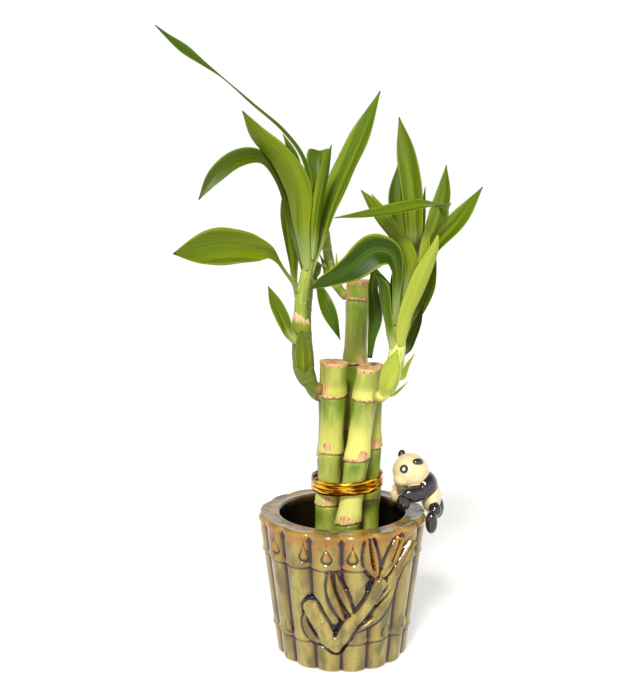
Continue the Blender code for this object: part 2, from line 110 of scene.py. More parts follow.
# name: patches of dry scar on the skin as (height, degrees round from +X, half height, half width in degrees)
SCARS = {
    "stalk_front_left": (
        (119.5, 250, 2.6, 20), (151.0, 225, 5.0, 14), (90.0, 262, 1.6, 30), (158.5, 195, 6.0, 9),
    ),
    "stalk_front_right": ((116.5, 292, 3.0, 22), (150.5, 340, 3.0, 16), (81.5, 250, 1.4, 30)),
    "stalk_right": ((119.5, 300, 2.6, 24), (151.0, 20, 4.0, 18)),
    "stalk_tall": ((200.5, 205, 3.5, 20), (164.0, 300, 2.4, 20)),
    "stalk_back_left": ((112.5, 120, 2.6, 20), (146.0, 170, 4.0, 20)),
}

# name: centre line (x, y, z, radius)
SHOOTS = {
    "shoot_front_left": (
        (-11.4, -8.8, 149.8, 3.4), (-15.7, -9.5, 152.0, 3.2), (-18.4, -10, 155.5, 4.4),
        (-20.9, -10.5, 161.0, 5.1), (-21.5, -10.5, 167.5, 5.2), (-22.1, -10, 175.0, 5.0),
        (-22.5, -9.5, 183.0, 4.3), (-23.0, -9, 191.0, 3.5), (-22.7, -8.5, 199.0, 3.3),
        (-20.9, -7.5, 208.0, 3.2), (-18.2, -6, 220.0, 2.8), (-15.5, -3.5, 235.0, 1.4),
    ),
    "shoot_back_left": (
        (-12.0, 8.3, 142.0, 2.9), (-15.6, 8.9, 144.5, 2.8), (-19.2, 11, 152.0, 3.6),
        (-19.9, 12.5, 168.0, 3.4), (-20.2, 12, 186.0, 2.8), (-18.2, 12, 208.0, 2.5), (-15.2, 11, 230.0, 1.4),
    ),
    "shoot_tall": (
        (2.6, 14.8, 197.6, 2.6), (-0.6, 13.5, 201.0, 2.4), (-4.6, 10.5, 207.5, 2.9), (-7.6, 8.5, 219.0, 2.7),
        (-9.2, 8, 231.0, 2.4), (-10.0, 8, 246.0, 1.2),
    ),
    "shoot_front_right": (
        (17.4, -16.8, 147.6, 3.4), (20.7, -19.8, 149.5, 3.2), (22.9, -19.9, 153.5, 4.3),
        (25.7, -18.4, 159.0, 4.8), (27.6, -16.2, 165.5, 4.6), (28.7, -14.2, 173.0, 4.4),
        (29.3, -13, 184.0, 4.1), (31.0, -11, 197.0, 3.6), (34.0, -9.8, 210.0, 2.8), (36.8, -8.4, 221.0, 1.5),
    ),
    "shoot_right": (
        (20.8, 4.8, 146.8, 2.8), (24.6, 5.9, 149.5, 2.8), (28.6, 8, 157.5, 3.4), (31.8, 9, 170.0, 3.2),
        (35.2, 8, 186.0, 2.8), (37.6, 8, 203.0, 2.4), (39.2, 9, 217.0, 1.2),
    ),
}

# name: spine points x, y, z, width; upper side's direction at the base and at the tip; fold in degrees at the
# base and at the tip; radius of the stem that the base wraps; kind of leaf
LEAVES = {
    "left_leaf_long": (
        ((-21.0, 8, 224, 5), (-20.5, 7, 246, 6), (-19.0, 5.5, 262, 5), (-22.5, 4, 275, 4),
         (-32.0, 2, 288, 3), (-48.5, -3, 302.5, 2), (-64, -7, 316, 1.1), (-74, -9, 323, 3.6),
         (-83, -10, 329.5, 6.2), (-92, -11, 336.8, 2.6), (-97, -12, 341.5, 0.4)),
        (0.9, -0.5, 0.2), (0.3, -0.9, 0.4), 50, 15, 3.4, "leaf"),
    "left_leaf_arching": (
        ((-19.8, -13.8, 216, 6), (-22.5, -15, 238, 10), (-24.5, -16, 258, 16), (-33, -18, 274, 13.5),
         (-45, -21, 286.5, 9.5), (-52, -24, 298, 0.4)),
        (0.2, 1, 0.2), (0.3, 0.9, 0.3), 28, 12, 4.0, "leaf"),
    "left_leaf_drooping": (
        ((-24.8, -4, 216, 4), (-29.5, -4, 240, 5.5), (-34, -6, 260, 6), (-43, -14, 274, 8),
         (-56, -27, 273, 10), (-66, -34, 264.5, 8), (-73.5, -38, 253.5, 0.4)),
        (0.9, -0.4, 0.2), (0.1, -0.9, 0.4), 32, 10, 3.4, "leaf"),
    "left_leaf_side": (
        ((-27.2, -13.8, 204, 2.8), (-30.5, -18.5, 213.5, 2.6), (-34.8, -23, 221.5, 3.4), (-39, -26, 226, 8),
         (-45.5, -29, 227.6, 15), (-55, -33, 229.0, 19.5), (-65.5, -37, 229.0, 20.5), (-76, -41, 227.6, 14),
         (-86, -46, 227, 0.4)),
        (0.5, -0.8, 0.5), (0, -0.95, 0.35), 20, 10, 3.6, "leaf"),
    "left_leaf_broad": (
        ((-26.9, -5.6, 199, 4.6), (-28.5, -1, 219, 11), (-30.5, 3, 240, 14), (-31, 9, 260.5, 0.4)),
        (1, -0.2, 0), (0.5, -0.9, 0.2), 25, 12, 4.0, "leaf"),
    "left_leaf_centre": (
        ((-15.2, -10.4, 221, 6), (-14.8, -13.5, 237, 7.6), (-12.4, -16.5, 255, 8.2), (-9.6, -17, 268, 7.0),
         (-6.5, -17, 281, 0.4)),
        (-0.2, 1, 0.2), (-0.2, 1, 0.2), 50, 40, 3.4, "leaf"),
    "left_leaf_bright": (
        ((-13.3, -7.5, 212, 6), (-10.5, -6, 230, 9), (-6.5, -5, 246, 14.5), (0.5, -3, 264, 17.5),
         (10.5, 0, 287, 13.5), (19.5, 3, 309.5, 0.4)),
        (-0.7, -0.5, 0.3), (-0.5, -0.8, 0.4), 30, 12, 3.6, "leaf"),
    "left_leaf_curled": (
        ((-13.0, 12.5, 240, 4), (-13.2, 14, 254, 8), (-13.5, 17, 268, 13), (-13, 23, 277.5, 12),
         (-12, 32, 278, 0.4)),
        (-0.2, -1, 0), (0, -0.3, 1), 25, 15, 3.4, "leaf"),
    "left_leaf_short": (
        ((-19.5, 13, 232, 4.5), (-24, 12.5, 258, 8.5), (-27.5, 12, 275, 7.5), (-32.5, 12, 287, 0.4)),
        (0.9, -0.4, 0.2), (0.6, -0.8, 0.3), 25, 12, 3.4, "leaf"),
    "left_leaf_low": (
        ((-28.0, -17, 176.5, 4.5), (-30.4, -18, 184.5, 7.4), (-33.2, -20, 192, 8.6), (-36.4, -21, 199.7, 7.0),
         (-39.6, -22, 208.2, 0.4)),
        (0.5, -0.8, 0.2), (0.2, -0.95, 0.2), 28, 12, 5.6, "leaf"),
    "left_sheath_front": (
        ((-21.0, -17.2, 160, 8), (-21.7, -17.6, 172, 9.4), (-22.4, -16, 183.5, 1.2)),
        (0, 1, 0), (0, 1, 0), 30, 30, 5.6, "old"),
    "tall_leaf_drooping": (
        ((-11.4, 5.5, 212, 4), (-14.2, 3, 216.5, 7), (-16.5, 0, 212, 8), (-12.5, -3, 202, 8.5),
         (-6.5, -4, 190, 8), (-1.5, -5, 177, 0.4)),
        (0.5, 0.4, 0.6), (-0.4, -0.9, 0), 25, 10, 3.4, "leaf"),
    "tall_sheath_left": (
        ((-8.4, 4.6, 205.5, 4), (-10.2, 4.9, 215.5, 3.2), (-12.8, 5, 223, 0.4)),
        (0.4, 1, 0), (0.4, 0.8, 0.4), 30, 20, 3.4, "leaf"),
    "tall_sheath_right": (
        ((-0.9, 8.5, 206.5, 4.5), (-2.6, 7, 215, 4), (-3.6, 6.5, 223, 0.4)),
        (-0.8, 0.4, 0.2), (-0.8, 0.4, 0.2), 30, 20, 3.4, "sheath"),
    "right_leaf_upright": (
        ((38.6, -3, 217, 7), (38.5, 0, 238, 10), (36.5, 3, 262, 12.5), (33.5, 6, 279, 10), (30, 9, 296, 0.4)),
        (-0.2, -1, 0), (-0.3, -1, 0), 25, 14, 3.6, "leaf"),
    "right_leaf_behind": (
        ((36.5, 12, 213, 5), (33, 15, 232, 9), (29.5, 18, 254, 9.5), (30.5, 22, 270.5, 0.4)),
        (0.1, -1, 0), (0, -1, 0.2), 25, 12, 3.4, "leaf"),
    "right_leaf_small": (
        ((40.5, 13.5, 212, 4), (43.5, 16, 236, 6), (45.5, 19, 258.5, 0.4)),
        (-0.6, -0.8, 0), (-0.5, -0.8, 0), 25, 15, 3.4, "leaf"),
    "right_leaf_rear_tip": (
        ((42.8, 7, 214, 5), (48.5, 9, 234, 9), (54.5, 12, 252, 10), (56.5, 15, 270.5, 0.4)),
        (-0.6, -0.8, 0.2), (-0.3, -0.95, 0), 25, 12, 3.4, "leaf"),
    "right_leaf_outward": (
        ((40.2, -8.5, 213, 6.5), (48.3, -12.4, 228, 9.4), (59.8, -17.4, 242, 11), (71.5, -21, 259.5, 0.4)),
        (-0.6, -0.7, 0.4), (-0.3, -0.95, 0.2), 25, 10, 3.6, "leaf"),
    "right_leaf_level": (
        ((44.5, 1.5, 218, 5), (50.4, -4, 234, 6.4), (54, -16.6, 247.4, 8.2), (43.6, -26.6, 250, 11),
         (20, -33, 246.5, 10), (-5.5, -39, 244.5, 0.4)),
        (-0.8, -0.4, 0.4), (0.0, -0.5, 0.85), 28, 12, 3.6, "leaf"),
    "right_leaf_deep": (
        ((26.3, -18.6, 187, 4.6), (26.6, -19.6, 197, 5.2), (27.2, -21.5, 208, 6), (27.0, -24, 217.5, 8),
         (23.5, -27.5, 225.6, 14), (16.5, -30.5, 227.2, 18), (2.8, -36, 218.4, 14.5),
         (-4.8, -39.5, 214.8, 9.5), (-12.5, -43, 211.8, 5.5), (-17.9, -46, 209.3, 0.4)),
        (0.5, -0.8, 0.3), (0.2, -0.95, 0.3), 22, 10, 5.0, "deep"),
    "right_leaf_strip": (
        ((31.4, -16.0, 201, 4.2), (34.2, -17.8, 214.2, 9.5), (32.3, -19, 225.5, 10.5), (27, -20, 234.6, 9),
         (21.2, -21, 241.9, 9), (15.4, -22, 249.7, 7), (8.6, -23, 257.9, 0.4)),
        (0.2, 1, 0.2), (0.3, 0.95, 0.2), 25, 12, 3.8, "leaf"),
    "right_leaf_strip_behind": (
        ((32.0, 7.5, 208, 4), (29, 6, 228, 7), (22.5, 6, 243, 6.5), (15.5, 6, 255, 0.4)),
        (0.6, -0.6, 0.4), (0.4, -0.8, 0.4), 25, 12, 3.4, "leaf"),
    "right_leaf_heart": (
        ((41.6, -13.6, 212.5, 4), (43.2, -16.5, 229, 6.5), (43.5, -18.5, 242, 0.4)),
        (-0.5, -0.9, 0.2), (-0.5, -0.9, 0.2), 30, 25, 3.4, "sheath"),
    "right_leaf_clasping": (
        ((30.4, -20.8, 176, 6.4), (31.0, -21.2, 184, 8), (33.2, -21.4, 194.4, 8.8),
         (36.8, -21.8, 203.4, 10.4), (40.6, -22, 212.4, 10.6), (44.3, -22, 220.8, 8.6),
         (47.2, -22.5, 228.1, 5.5), (49, -22.5, 236, 0.4)),
        (0, 1, 0.1), (-0.3, 1, 0.1), 28, 22, 5.6, "sheath"),
    "right_leaf_yellow": (
        ((37.8, 3.2, 183, 4), (42.6, 3.6, 194, 8.5), (46.8, 4, 205, 9), (48.8, 4, 216, 5.5),
         (50.2, 4.2, 226, 0.4)),
        (-0.4, -0.9, 0.2), (-0.4, -0.9, 0.2), 24, 12, 3.4, "leaf"),
    "right_leaf_bent": (
        ((23.9, -18.9, 174.5, 4.6), (23.6, -20, 184.7, 6), (21.9, -21, 194.4, 6.6), (20.7, -22.2, 203, 8),
         (19.6, -24.2, 209.3, 7), (16.2, -27.6, 214.6, 0.4)),
        (0.6, 0.8, 0.1), (0.55, 0.6, 0.6), 28, 12, 5.4, "leaf"),
    "right_leaf_inner": (
        ((24.8, -7.6, 185, 5.4), (26, -7.5, 198, 8.5), (27, -7, 210, 8), (28.5, -6, 222, 0.4)),
        (0.9, -0.4, 0), (0.5, -0.9, 0), 28, 15, 4.2, "leaf"),
    "right_leaf_hanging": (
        ((31.2, 4.6, 190, 3.4), (28, 2.5, 199, 4.5), (22.5, 0.5, 208.5, 6), (17.6, -1.5, 213.2, 7),
         (15.6, -3, 206.6, 7), (16.8, -4, 195.4, 8.2), (17.2, -4.6, 187.9, 8), (15.6, -5, 178, 5),
         (14.6, -4.6, 167, 2.6)),
        (0.5, 0.4, 0.6), (-0.2, -1, 0), 22, 12, 3.4, "deep"),
    "right_sheath_outer": (
        ((31.8, -19.0, 156.9, 4.2), (34.5, -20.3, 165.6, 4.6), (37.7, -21.5, 172.6, 0.4)),
        (-0.6, 0.8, 0.1), (-0.8, 0.5, 0.1), 24, 18, 5.4, "sheath"),
    "right_sheath_front": (
        ((20.6, -25.2, 150, 7), (22.6, -26.4, 158, 9.8), (25.2, -24.8, 167, 9), (28.2, -22.4, 174.3, 0.8)),
        (0.2, 1, 0), (0.3, 0.95, 0), 20, 20, 5.4, "sheath"),
    "right_sheath_low": (
        ((25.3, -20.4, 148.6, 3), (29.0, -21.1, 151.6, 4.4), (34.2, -22, 157.4, 0.4)),
        (-0.4, 0.4, 0.8), (-0.6, 0.3, 0.7), 24, 18, 5.4, "sheath"),
    "right_leaf_lower": (
        ((35.0, 2.0, 166, 4.2), (37.8, 1.0, 176, 6.4), (41.2, 0.2, 186, 5.6), (43.4, -0.6, 195, 0.4)),
        (-0.5, -0.8, 0.3), (-0.5, -0.8, 0.3), 26, 15, 3.6, "deep"),
}

# The foil tie's middle, and how much it rises per millimetre of x and of y
TIE_CENTRE = (2.6, 1.3, 97.0)
TIE_TILT = (0.058, -0.064)

# How far each leaf is darkened by painted shade, 0 to 1, for leaves that sit in shade; one that isn't listed
# is not darkened
LEAF_PAINTED_SHADE = {
    "left_leaf_side": 0.34, "left_leaf_drooping": 0.52, "left_leaf_arching": 0.24, "left_leaf_short": 0.2,
    "left_leaf_broad": 0.12, "left_leaf_long": 0.2, "right_leaf_upright": 0.3, "right_leaf_level": 0.1,
    "right_leaf_behind": 0.2, "right_leaf_rear_tip": 0.2, "left_leaf_curled": 0.1, "right_leaf_strip": 0.15,
}

# How far the first culm is turned past the front, in culms, and the rounds of the rim and of the bore's lip
CULM_SHIFT = 0.07
POT_RIM_ROUND = 2.2
POT_LIP_ROUND = 1.3

# Branch and leaves in relief on the pot: kind, height, then (degrees from the front, z, half width)
RELIEF = (
    ("leaf", 1.5, ((-14, 17, 0.8), (-24, 20, 2.4), (-30.5, 28, 2.0), (-30, 34, 0.4))),
    ("leaf", 1.5, ((24, 33, 0.8), (37.5, 46, 2.4), (45, 59.5, 2.4), (59.5, 69.5, 0.4))),
    ("leaf", 1.7, ((25, 40, 0.8), (36.5, 50.5, 2.2), (45, 58.5, 1.6), (57, 66, 0.4))),
    ("leaf", 1.6, ((31, 48.5, 0.8), (39, 57.5, 2.0), (46, 65, 1.6), (52, 72, 0.4))),
    ("leaf", 1.2, ((12, 25.5, 0.8), (27, 31.5, 2.0), (37, 42, 1.6), (41, 51, 0.4))),
    ("leaf", 1.7, ((0, 31.5, 0.8), (-6.5, 42, 2.2), (-9.5, 50, 2.0), (-10, 58.5, 0.4))),
    ("leaf", 1.8, ((7, 34, 0.8), (1.5, 43, 2.0), (-3, 51, 1.8), (-5.5, 58.5, 0.4))),
    ("leaf", 1.8, ((23.5, 54.5, 0.8), (17.5, 62, 2.0), (15.5, 70, 1.8), (15.5, 77, 0.5))),
    ("leaf", 1.5, ((24.5, 55, 0.6), (23, 63, 1.3), (21, 70, 1.2), (18.5, 77, 0.4))),
    ("leaf", 1.9, ((27, 55, 0.8), (31.5, 62.5, 2.1), (35, 70, 2.0), (38.5, 76.5, 0.5))),
    ("leaf", 1.5, ((29, 55, 0.7), (36.5, 62, 1.4), (41, 69, 1.4), (44, 75, 0.4))),
    ("limb", 2.9, ((-25, 37.5, 4.6), (-21.5, 32, 4.8), (-16, 25.5, 4.6), (-10, 18, 4.2), (-5.5, 15, 3.0))),
    ("limb", 2.7,
     ((-6, 15.5, 3.0), (0, 22, 3.8), (6, 29.5, 3.7), (13, 34.5, 3.3), (21, 42.5, 3.4), (27, 51, 3.6))),
)
# Teardrop buds on the culms: (degrees from the front, z)
BUDS = (
    (-54.8, 67), (-28.3, 67), (-11.8, 67), (5.9, 67), (-50.3, 21.5), (36.3, 21.5), (60.1, 21.5), (98, 67),
    (140, 67), (120, 21.5), (165, 21.5), (-98, 67), (-142, 67), (-120, 21.5), (-165, 67),
)
# Rings across the branch: (degrees from the front, z, slant of the branch there in degrees)
LIMB_RINGS = ((-18.5, 28.5, -50), (6.5, 30.0, 40), (21.0, 42.5, 48))
# Drops of dark glaze that fill hollows by the branch: (degrees from the front, z, radius)
GLAZE_POOLS = (
    (-26.0, 42.0, 4.4), (-5.4, 25.9, 5.0), (19.6, 50.0, 4.6), (5.5, 39.5, 1.8), (2.0, 50.0, 1.6),
    (20, 64, 1.6),
)

# centre, radii and turn about Z in degrees of the rounded masses of the panda, and what they are painted
PANDA_MASSES = (
    ((37.6, -3.0, 103.4), (10.0, 10.2, 9.8), 33, "cream"),
    ((32.6, -7.0, 99.8), (4.6, 5.0, 4.2), 33, "cream"),
    ((33.2, 3.6, 110.8), (2.4, 2.0, 3.0), 33, "black"),
    ((41.2, -8.8, 109.8), (3.4, 2.0, 2.2), 33, "black"),
    ((45.6, -2.0, 95.0), (7.4, 10.4, 8.2), 0, "black"),
    ((49.4, -1.0, 88.0), (5.6, 10.2, 9.2), 0, "cream"),
    ((40.2, -11.0, 92.4), (8.6, 3.7, 4.6), 18, "black"),
    ((33.4, -11.6, 88.0), (4.0, 3.6, 4.8), 0, "black"),
    ((36.4, 6.6, 90.6), (8.4, 3.6, 4.4), -12, "cream"),
    ((30.4, 5.4, 87.0), (3.4, 3.2, 4.2), 0, "cream"),
    ((50.6, -11.2, 83.4), (3.6, 4.0, 4.2), 0, "black"),
    ((48.4, -15.2, 77.6), (3.4, 3.8, 6.4), 0, "black"),
    ((53.4, 4.8, 80.0), (4.0, 4.0, 6.6), 0, "black"),
)
# centre and radius of each painted eye; the highlight in it has about a third of that radius
PANDA_EYES = (((33.0, -11.8, 106.8), 2.4), ((27.6, -2.4, 106.0), 1.7))


def unit(v):
    return v / np.linalg.norm(v, axis=-1, keepdims=True)


def circle(count):
    """Even angles once round a circle."""
    return np.linspace(0.0, 2 * math.pi, count, endpoint=False)


def centred(angle):
    """The same angle between minus half a turn and half a turn."""
    return (angle + math.pi) % (2 * math.pi) - math.pi


def grid(x, y, z):
    """Rows and columns of points; a coordinate may be the same along a row or down a column."""
    return np.stack(np.broadcast_arrays(x, y, z), axis=-1)


def name_seed(name, first):
    """A whole number that a name always gives, so that each piece varies in its own way."""
    return sum(ord(letter) * (i + first) for i, letter in enumerate(name))


def from_middle(values):
    """Running sum of values across a blade 2 wide, counted from its middle column."""
    steps = (values[:, 1:] + values[:, :-1]) / (values.shape[1] - 1)
    total = np.concatenate([np.zeros((len(values), 1)), np.cumsum(steps, axis=1)], axis=1)
    return total - total[:, [total.shape[1] // 2]]


def smooth(rows, count):
    """Rows of numbers along a curve, resampled to `count` even steps of a smooth spline."""
    rows = np.array(rows, dtype=float)
    gaps = np.linalg.norm(np.diff(rows[:, :3], axis=0), axis=1)
    knots = np.concatenate([[0.0], np.cumsum(gaps)])
    slopes = np.gradient(rows, knots, axis=0)
    at = np.linspace(0.0, knots[-1], count)
    i = np.clip(np.searchsorted(knots, at, side="right") - 1, 0, len(gaps) - 1)
    h = gaps[i][:, None]
    t = ((at - knots[i]) / gaps[i])[:, None]
    return (
        (2 * t**3 - 3 * t**2 + 1) * rows[i]
        + (t**3 - 2 * t**2 + t) * h * slopes[i]
        + (3 * t**2 - 2 * t**3) * rows[i + 1]
        + (t**3 - t**2) * h * slopes[i + 1]
    )


def bump(x, middle, width):
    """A smooth hump of height 1 round a middle."""
    return np.exp(-(((x - middle) / width) ** 2))


def step(x, low, high):
    """0 below low, 1 above high, smooth between them."""
    t = np.clip((x - low) / (high - low), 0.0, 1.0)
    return t * t * (3 - 2 * t)


def ripple(angle, seed, terms=4):
    """A smooth periodic wobble round a circle, about -1 to 1."""
    random = np.random.default_rng(seed)
    total = np.zeros_like(angle)
    for k in range(1, terms + 1):
        total = total + random.uniform(0.4, 1.0) / k * np.cos(k * angle + random.uniform(0, 2 * math.pi))
    return total / 1.4


def toward_stem(base):
    """How far a leaf's base must move to clasp the nearest shoot, as a vector in millimetres."""
    lines = np.concatenate([smooth(line, 60) for line in SHOOTS.values()])
    gaps = lines[:, :3] - base
    far = np.linalg.norm(gaps, axis=1)
    i = int(np.argmin(far - lines[:, 3]))
    return gaps[i] * max(0.0, 1 - (lines[i, 3] + 0.15) / far[i])


def ring_faces(rings, count, closed):
    """Faces between equal rings of points; open strips of rings are closed with a cap at each end."""
    faces = []
    for r in range(rings if closed else rings - 1):
        a, b = r * count, (r + 1) % rings * count
        faces += [(a + i, a + (i + 1) % count, b + (i + 1) % count, b + i) for i in range(count)]
    if not closed:
        faces.append(tuple(range(count)))
        faces.append(tuple((rings - 1) * count + i for i in range(count)))
    return faces


def add_piece(name, points, attributes, node, surface, faces=None, closed=False):
    """A piece that stands for a CAD node, from points in millimetres: rings of them unless faces are given.

    Each attribute is a number for every point. Closed rings come back to the first one.
    """
    faces = faces or ring_faces(*points.shape[:2], closed)
    mesh = bpy.data.meshes.new(name)
    mesh.from_pydata((points.reshape(-1, 3) * MM).tolist(), [], faces)
    mesh.validate()
    mesh.shade_smooth()
    for label, values in attributes.items():
        layer = mesh.attributes.new(label, "FLOAT", "POINT")
        values = np.broadcast_to(values, points.shape[:-1])
        layer.data.foreach_set("value", values.astype(np.float32).ravel())
    body = bmesh.new()
    body.from_mesh(mesh)
    bmesh.ops.recalc_face_normals(body, faces=body.faces)
    if body.calc_volume(signed=True) < 0:
        bmesh.ops.reverse_faces(body, faces=body.faces)
    body.to_mesh(mesh)
    body.free()
    piece = bpy.data.objects.new(name, mesh)
    bpy.context.scene.collection.objects.link(piece)
    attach(piece, BODY)
    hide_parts(node)
    mesh.materials.append(surface)
    return piece


# ---------------------------------------------------------------- materials


def add_node(tree, kind, inputs=None, **settings):
    """One shader node with its settings; an input is a number, a colour or the output that feeds it."""
    made = tree.nodes.new("ShaderNode" + kind)
    for key, value in settings.items():
        setattr(made, key, value)
    for key, value in (inputs or {}).items():
        if isinstance(value, bpy.types.NodeSocket):
            tree.links.new(value, made.inputs[key])
        else:
            made.inputs[key].default_value = value
    return made


class Surface:
    """A material under construction, with short words for the nodes that feed its shader."""

    def __init__(self, name, **shader):
        self.material = bpy.data.materials.new(name)
        self.material.use_nodes = True
        self.tree = self.material.node_tree
        self.shader = self.tree.nodes["Principled BSDF"]
        for key, value in shader.items():
            self.shader.inputs[key.replace("_", " ")].default_value = value

    def node(self, kind, output=0, inputs=None, **settings):
        return add_node(self.tree, kind, inputs, **settings).outputs[output]

    def mark(self, name):
        """A number that the mesh carries at each point."""
        return self.node("Attribute", "Fac", attribute_name=name)

    def math(self, operation, *values):
        return self.node("Math", inputs=dict(enumerate(values)), operation=operation)

    def triple(self, *values):
        """A place in millimetres to read a pattern at."""
        return self.node("CombineXYZ", inputs=dict(enumerate(values)))

    def stretched(self, *shares):
        """The place in metres, times a share along x, y and z: a small share draws a pattern out."""
        place = self.node("TexCoord", "Object")
        return self.node("VectorMath", inputs={0: place, 1: shares}, operation="MULTIPLY")

    def noise(self, place, scale, detail, **more):
        return self.node("TexNoise", inputs={"Vector": place, "Scale": scale, "Detail": detail, **more})

    def fade(self, value, start, end, low=0.0, high=1.0, kind="LINEAR"):
        """A number that goes from low to high while another goes from start to end."""
        inputs = {"Value": value, "From Min": start, "From Max": end, "To Min": low, "To Max": high}
        return self.node("MapRange", inputs=inputs, interpolation_type=kind)

    def blend(self, share, low, high):
        """A colour that goes from low to high with a share."""
        low, high = [c if isinstance(c, bpy.types.NodeSocket) else tuple(c) for c in (low, high)]
        return self.node("Mix", 2, {0: share, 6: low, 7: high}, data_type="RGBA")

    def finish(self, colour, roughness, height, distance, strength):
        """Feeds the shader: colour, roughness if it varies, and a bump as high as a distance in metres."""
        self.tree.links.new(colour, self.shader.inputs["Base Color"])
        if roughness is not None:
            self.tree.links.new(roughness, self.shader.inputs["Roughness"])
        bumped = self.node("Bump", inputs={"Height": height, "Distance": distance, "Strength": strength})
        self.tree.links.new(bumped, self.shader.inputs["Normal"])
        return self.material


def leaf_surface(settings, name, blade, light, pale):
    """Living dracaena leaf, waxy cuticle: soft gloss over fine veins that run along the blade."""
    s = Surface(name, Roughness=0.4, IOR=1.42, Specular_IOR_Level=0.22, Subsurface_Weight=0.06,
                Subsurface_Scale=0.0008, Subsurface_Radius=(0.6, 1.0, 0.2))
    across_mm, along, tint = s.mark("across_mm"), s.mark("along"), s.mark("tint")
    # Veins lie about 0.7 mm apart and run nearly the whole length, so the pattern is drawn out that way.
    place = s.triple(across_mm, s.math("MULTIPLY", along, 2.2), s.math("MULTIPLY", tint, 37.0))
    veins = s.noise(place, 1.2, 3.0, Roughness=0.55)
    bands = s.noise(place, 0.24, 1.0)
    cells = s.noise(s.node("TexCoord", "Object"), 4000.0, 2.0)
    tinted = s.blend(s.math("MULTIPLY", tint, 0.5), blade, light)
    # Blades are yellower near the stem and darken towards the tip.
    nearer = s.fade(along, 0.9, 0.15, 0.25, 1.0)
    colour = s.blend(s.math("MULTIPLY", s.fade(bands, 0.42, 0.62), nearer), tinted, light)
    colour = s.blend(s.math("MULTIPLY", s.fade(veins, 0.38, 0.66), 0.38), colour, blade)
    edge = s.fade(s.math("ABSOLUTE", s.mark("across")), 0.8, 0.97, kind="SMOOTHSTEP")
    colour = s.blend(s.math("MULTIPLY", edge, 0.5), colour, settings.margin)
    # The midrib is a pale line about 0.6 mm wide that fades before the tip.
    rib = s.fade(s.math("ABSOLUTE", across_mm), 0.45, 0.1, kind="SMOOTHSTEP")
    colour = s.blend(s.math("MULTIPLY", rib, s.fade(along, 0.85, 0.3, 0.0, 0.25)), colour, settings.margin)
    foot = s.fade(along, 0.3, 0.0, kind="SMOOTHSTEP")
    colour = s.blend(s.math("MULTIPLY", foot, 0.75), colour, pale)
    colour = s.blend(s.fade(along, 0.972, 0.99, kind="SMOOTHSTEP"), colour, settings.dry_tip)
    # Painted shade: leaves that sit in shade are darkened towards a deep green by their listed share.
    colour = s.blend(s.mark("painted_shade"), colour, settings.painted_shade_green)
    return s.finish(colour, s.fade(cells, 0.0, 1.0, 0.34, 0.48), veins, 0.00022, 0.7)


def stalk_surface(settings):
    """Cane of a cut dracaena, smooth waxy skin: satin, yellow-green, greener under each dry node ring; the
    top of the tall stalk has the same green as painted shade.
    """
    s = Surface("waxy_cane", Roughness=0.34, IOR=1.45, Specular_IOR_Level=0.4, Subsurface_Weight=0.08,
                Subsurface_Scale=0.0015, Subsurface_Radius=(0.8, 1.0, 0.25))
    around, height, seed = s.mark("around_mm"), s.mark("height_mm"), s.mark("seed")
    grain = s.noise(s.triple(around, s.math("MULTIPLY", height, 0.06), seed), 1.3, 3.0)
    patch = s.noise(s.triple(around, s.math("MULTIPLY", height, 0.35), seed), 0.16, 2.0)
    fleck = s.noise(s.triple(around, height, seed), 0.55, 3.0, Roughness=0.6)
    skin = s.blend(s.fade(patch, 0.35, 0.7), settings.skin, settings.skin_shade)
    # Listed stalks are blended towards a paler yellow-cream skin by their listed share.
    skin = s.blend(s.mark("pale"), skin, settings.skin_pale)
    # The darker green under each node, and the painted shade on the top of the tall stalk.
    green = s.math("MULTIPLY", s.mark("node_green_and_shade"), s.fade(patch, 0.35, 0.62, 0.55, 1.0))
    skin = s.blend(green, skin, settings.green)
    skin = s.blend(s.fade(grain, 0.5, 0.75, 0.0, 0.25), skin, settings.green)
    skin = s.blend(s.fade(fleck, 0.7, 0.75, 0.0, 0.7), skin, settings.fleck)
    # Dry husk on the node rings and scars, with a ragged edge.
    ragged = s.fade(fleck, 0.3, 0.7, -0.35, 0.35)
    dry = s.math("ADD", s.math("MAXIMUM", s.mark("ring"), s.mark("scar")), ragged)
    dry = s.fade(dry, 0.4, 0.62, kind="SMOOTHSTEP")
    skin = s.blend(dry, skin, s.blend(s.fade(grain, 0.35, 0.65), settings.node_ring, settings.node_pale))
    cut = s.mark("cut")
    skin = s.blend(cut, skin, s.blend(s.fade(fleck, 0.45, 0.7), settings.cut_face, settings.node_ring))
    rough = s.fade(s.math("MAXIMUM", dry, cut), 0.0, 1.0, 0.34, 0.8)
    return s.finish(skin, rough, grain, 0.00015, 0.5)


def shoot_surface(settings):
    """Young dracaena stem, smooth: pale green with faint rings where leaves have fallen."""
    s = Surface("young_stem", Roughness=0.4, IOR=1.45, Subsurface_Weight=0.15, Subsurface_Scale=0.0015,
                Subsurface_Radius=(0.8, 1.0, 0.25))
    place = s.triple(s.mark("around_mm"), s.math("MULTIPLY", s.mark("along_mm"), 0.08), 4.0)
    grain = s.noise(place, 1.4, 3.0)
    colour = s.blend(s.fade(grain, 0.35, 0.65), settings.stem, settings.stem_light)
    colour = s.blend(s.fade(s.mark("along"), 0.55, 1.0), colour, settings.stem_light)
    for label, tone in (("old", settings.stem_old), ("pale", settings.stem_pale)):
        share = s.math("MULTIPLY", s.mark(label), s.fade(grain, 0.3, 0.5, 0.55, 1.0))
        colour = s.blend(share, colour, tone)
    colour = s.blend(s.mark("ring"), colour, settings.ring)
    colour = s.blend(s.mark("husk"), colour, settings.fleck)
    return s.finish(colour, None, grain, 0.00015, 0.5)


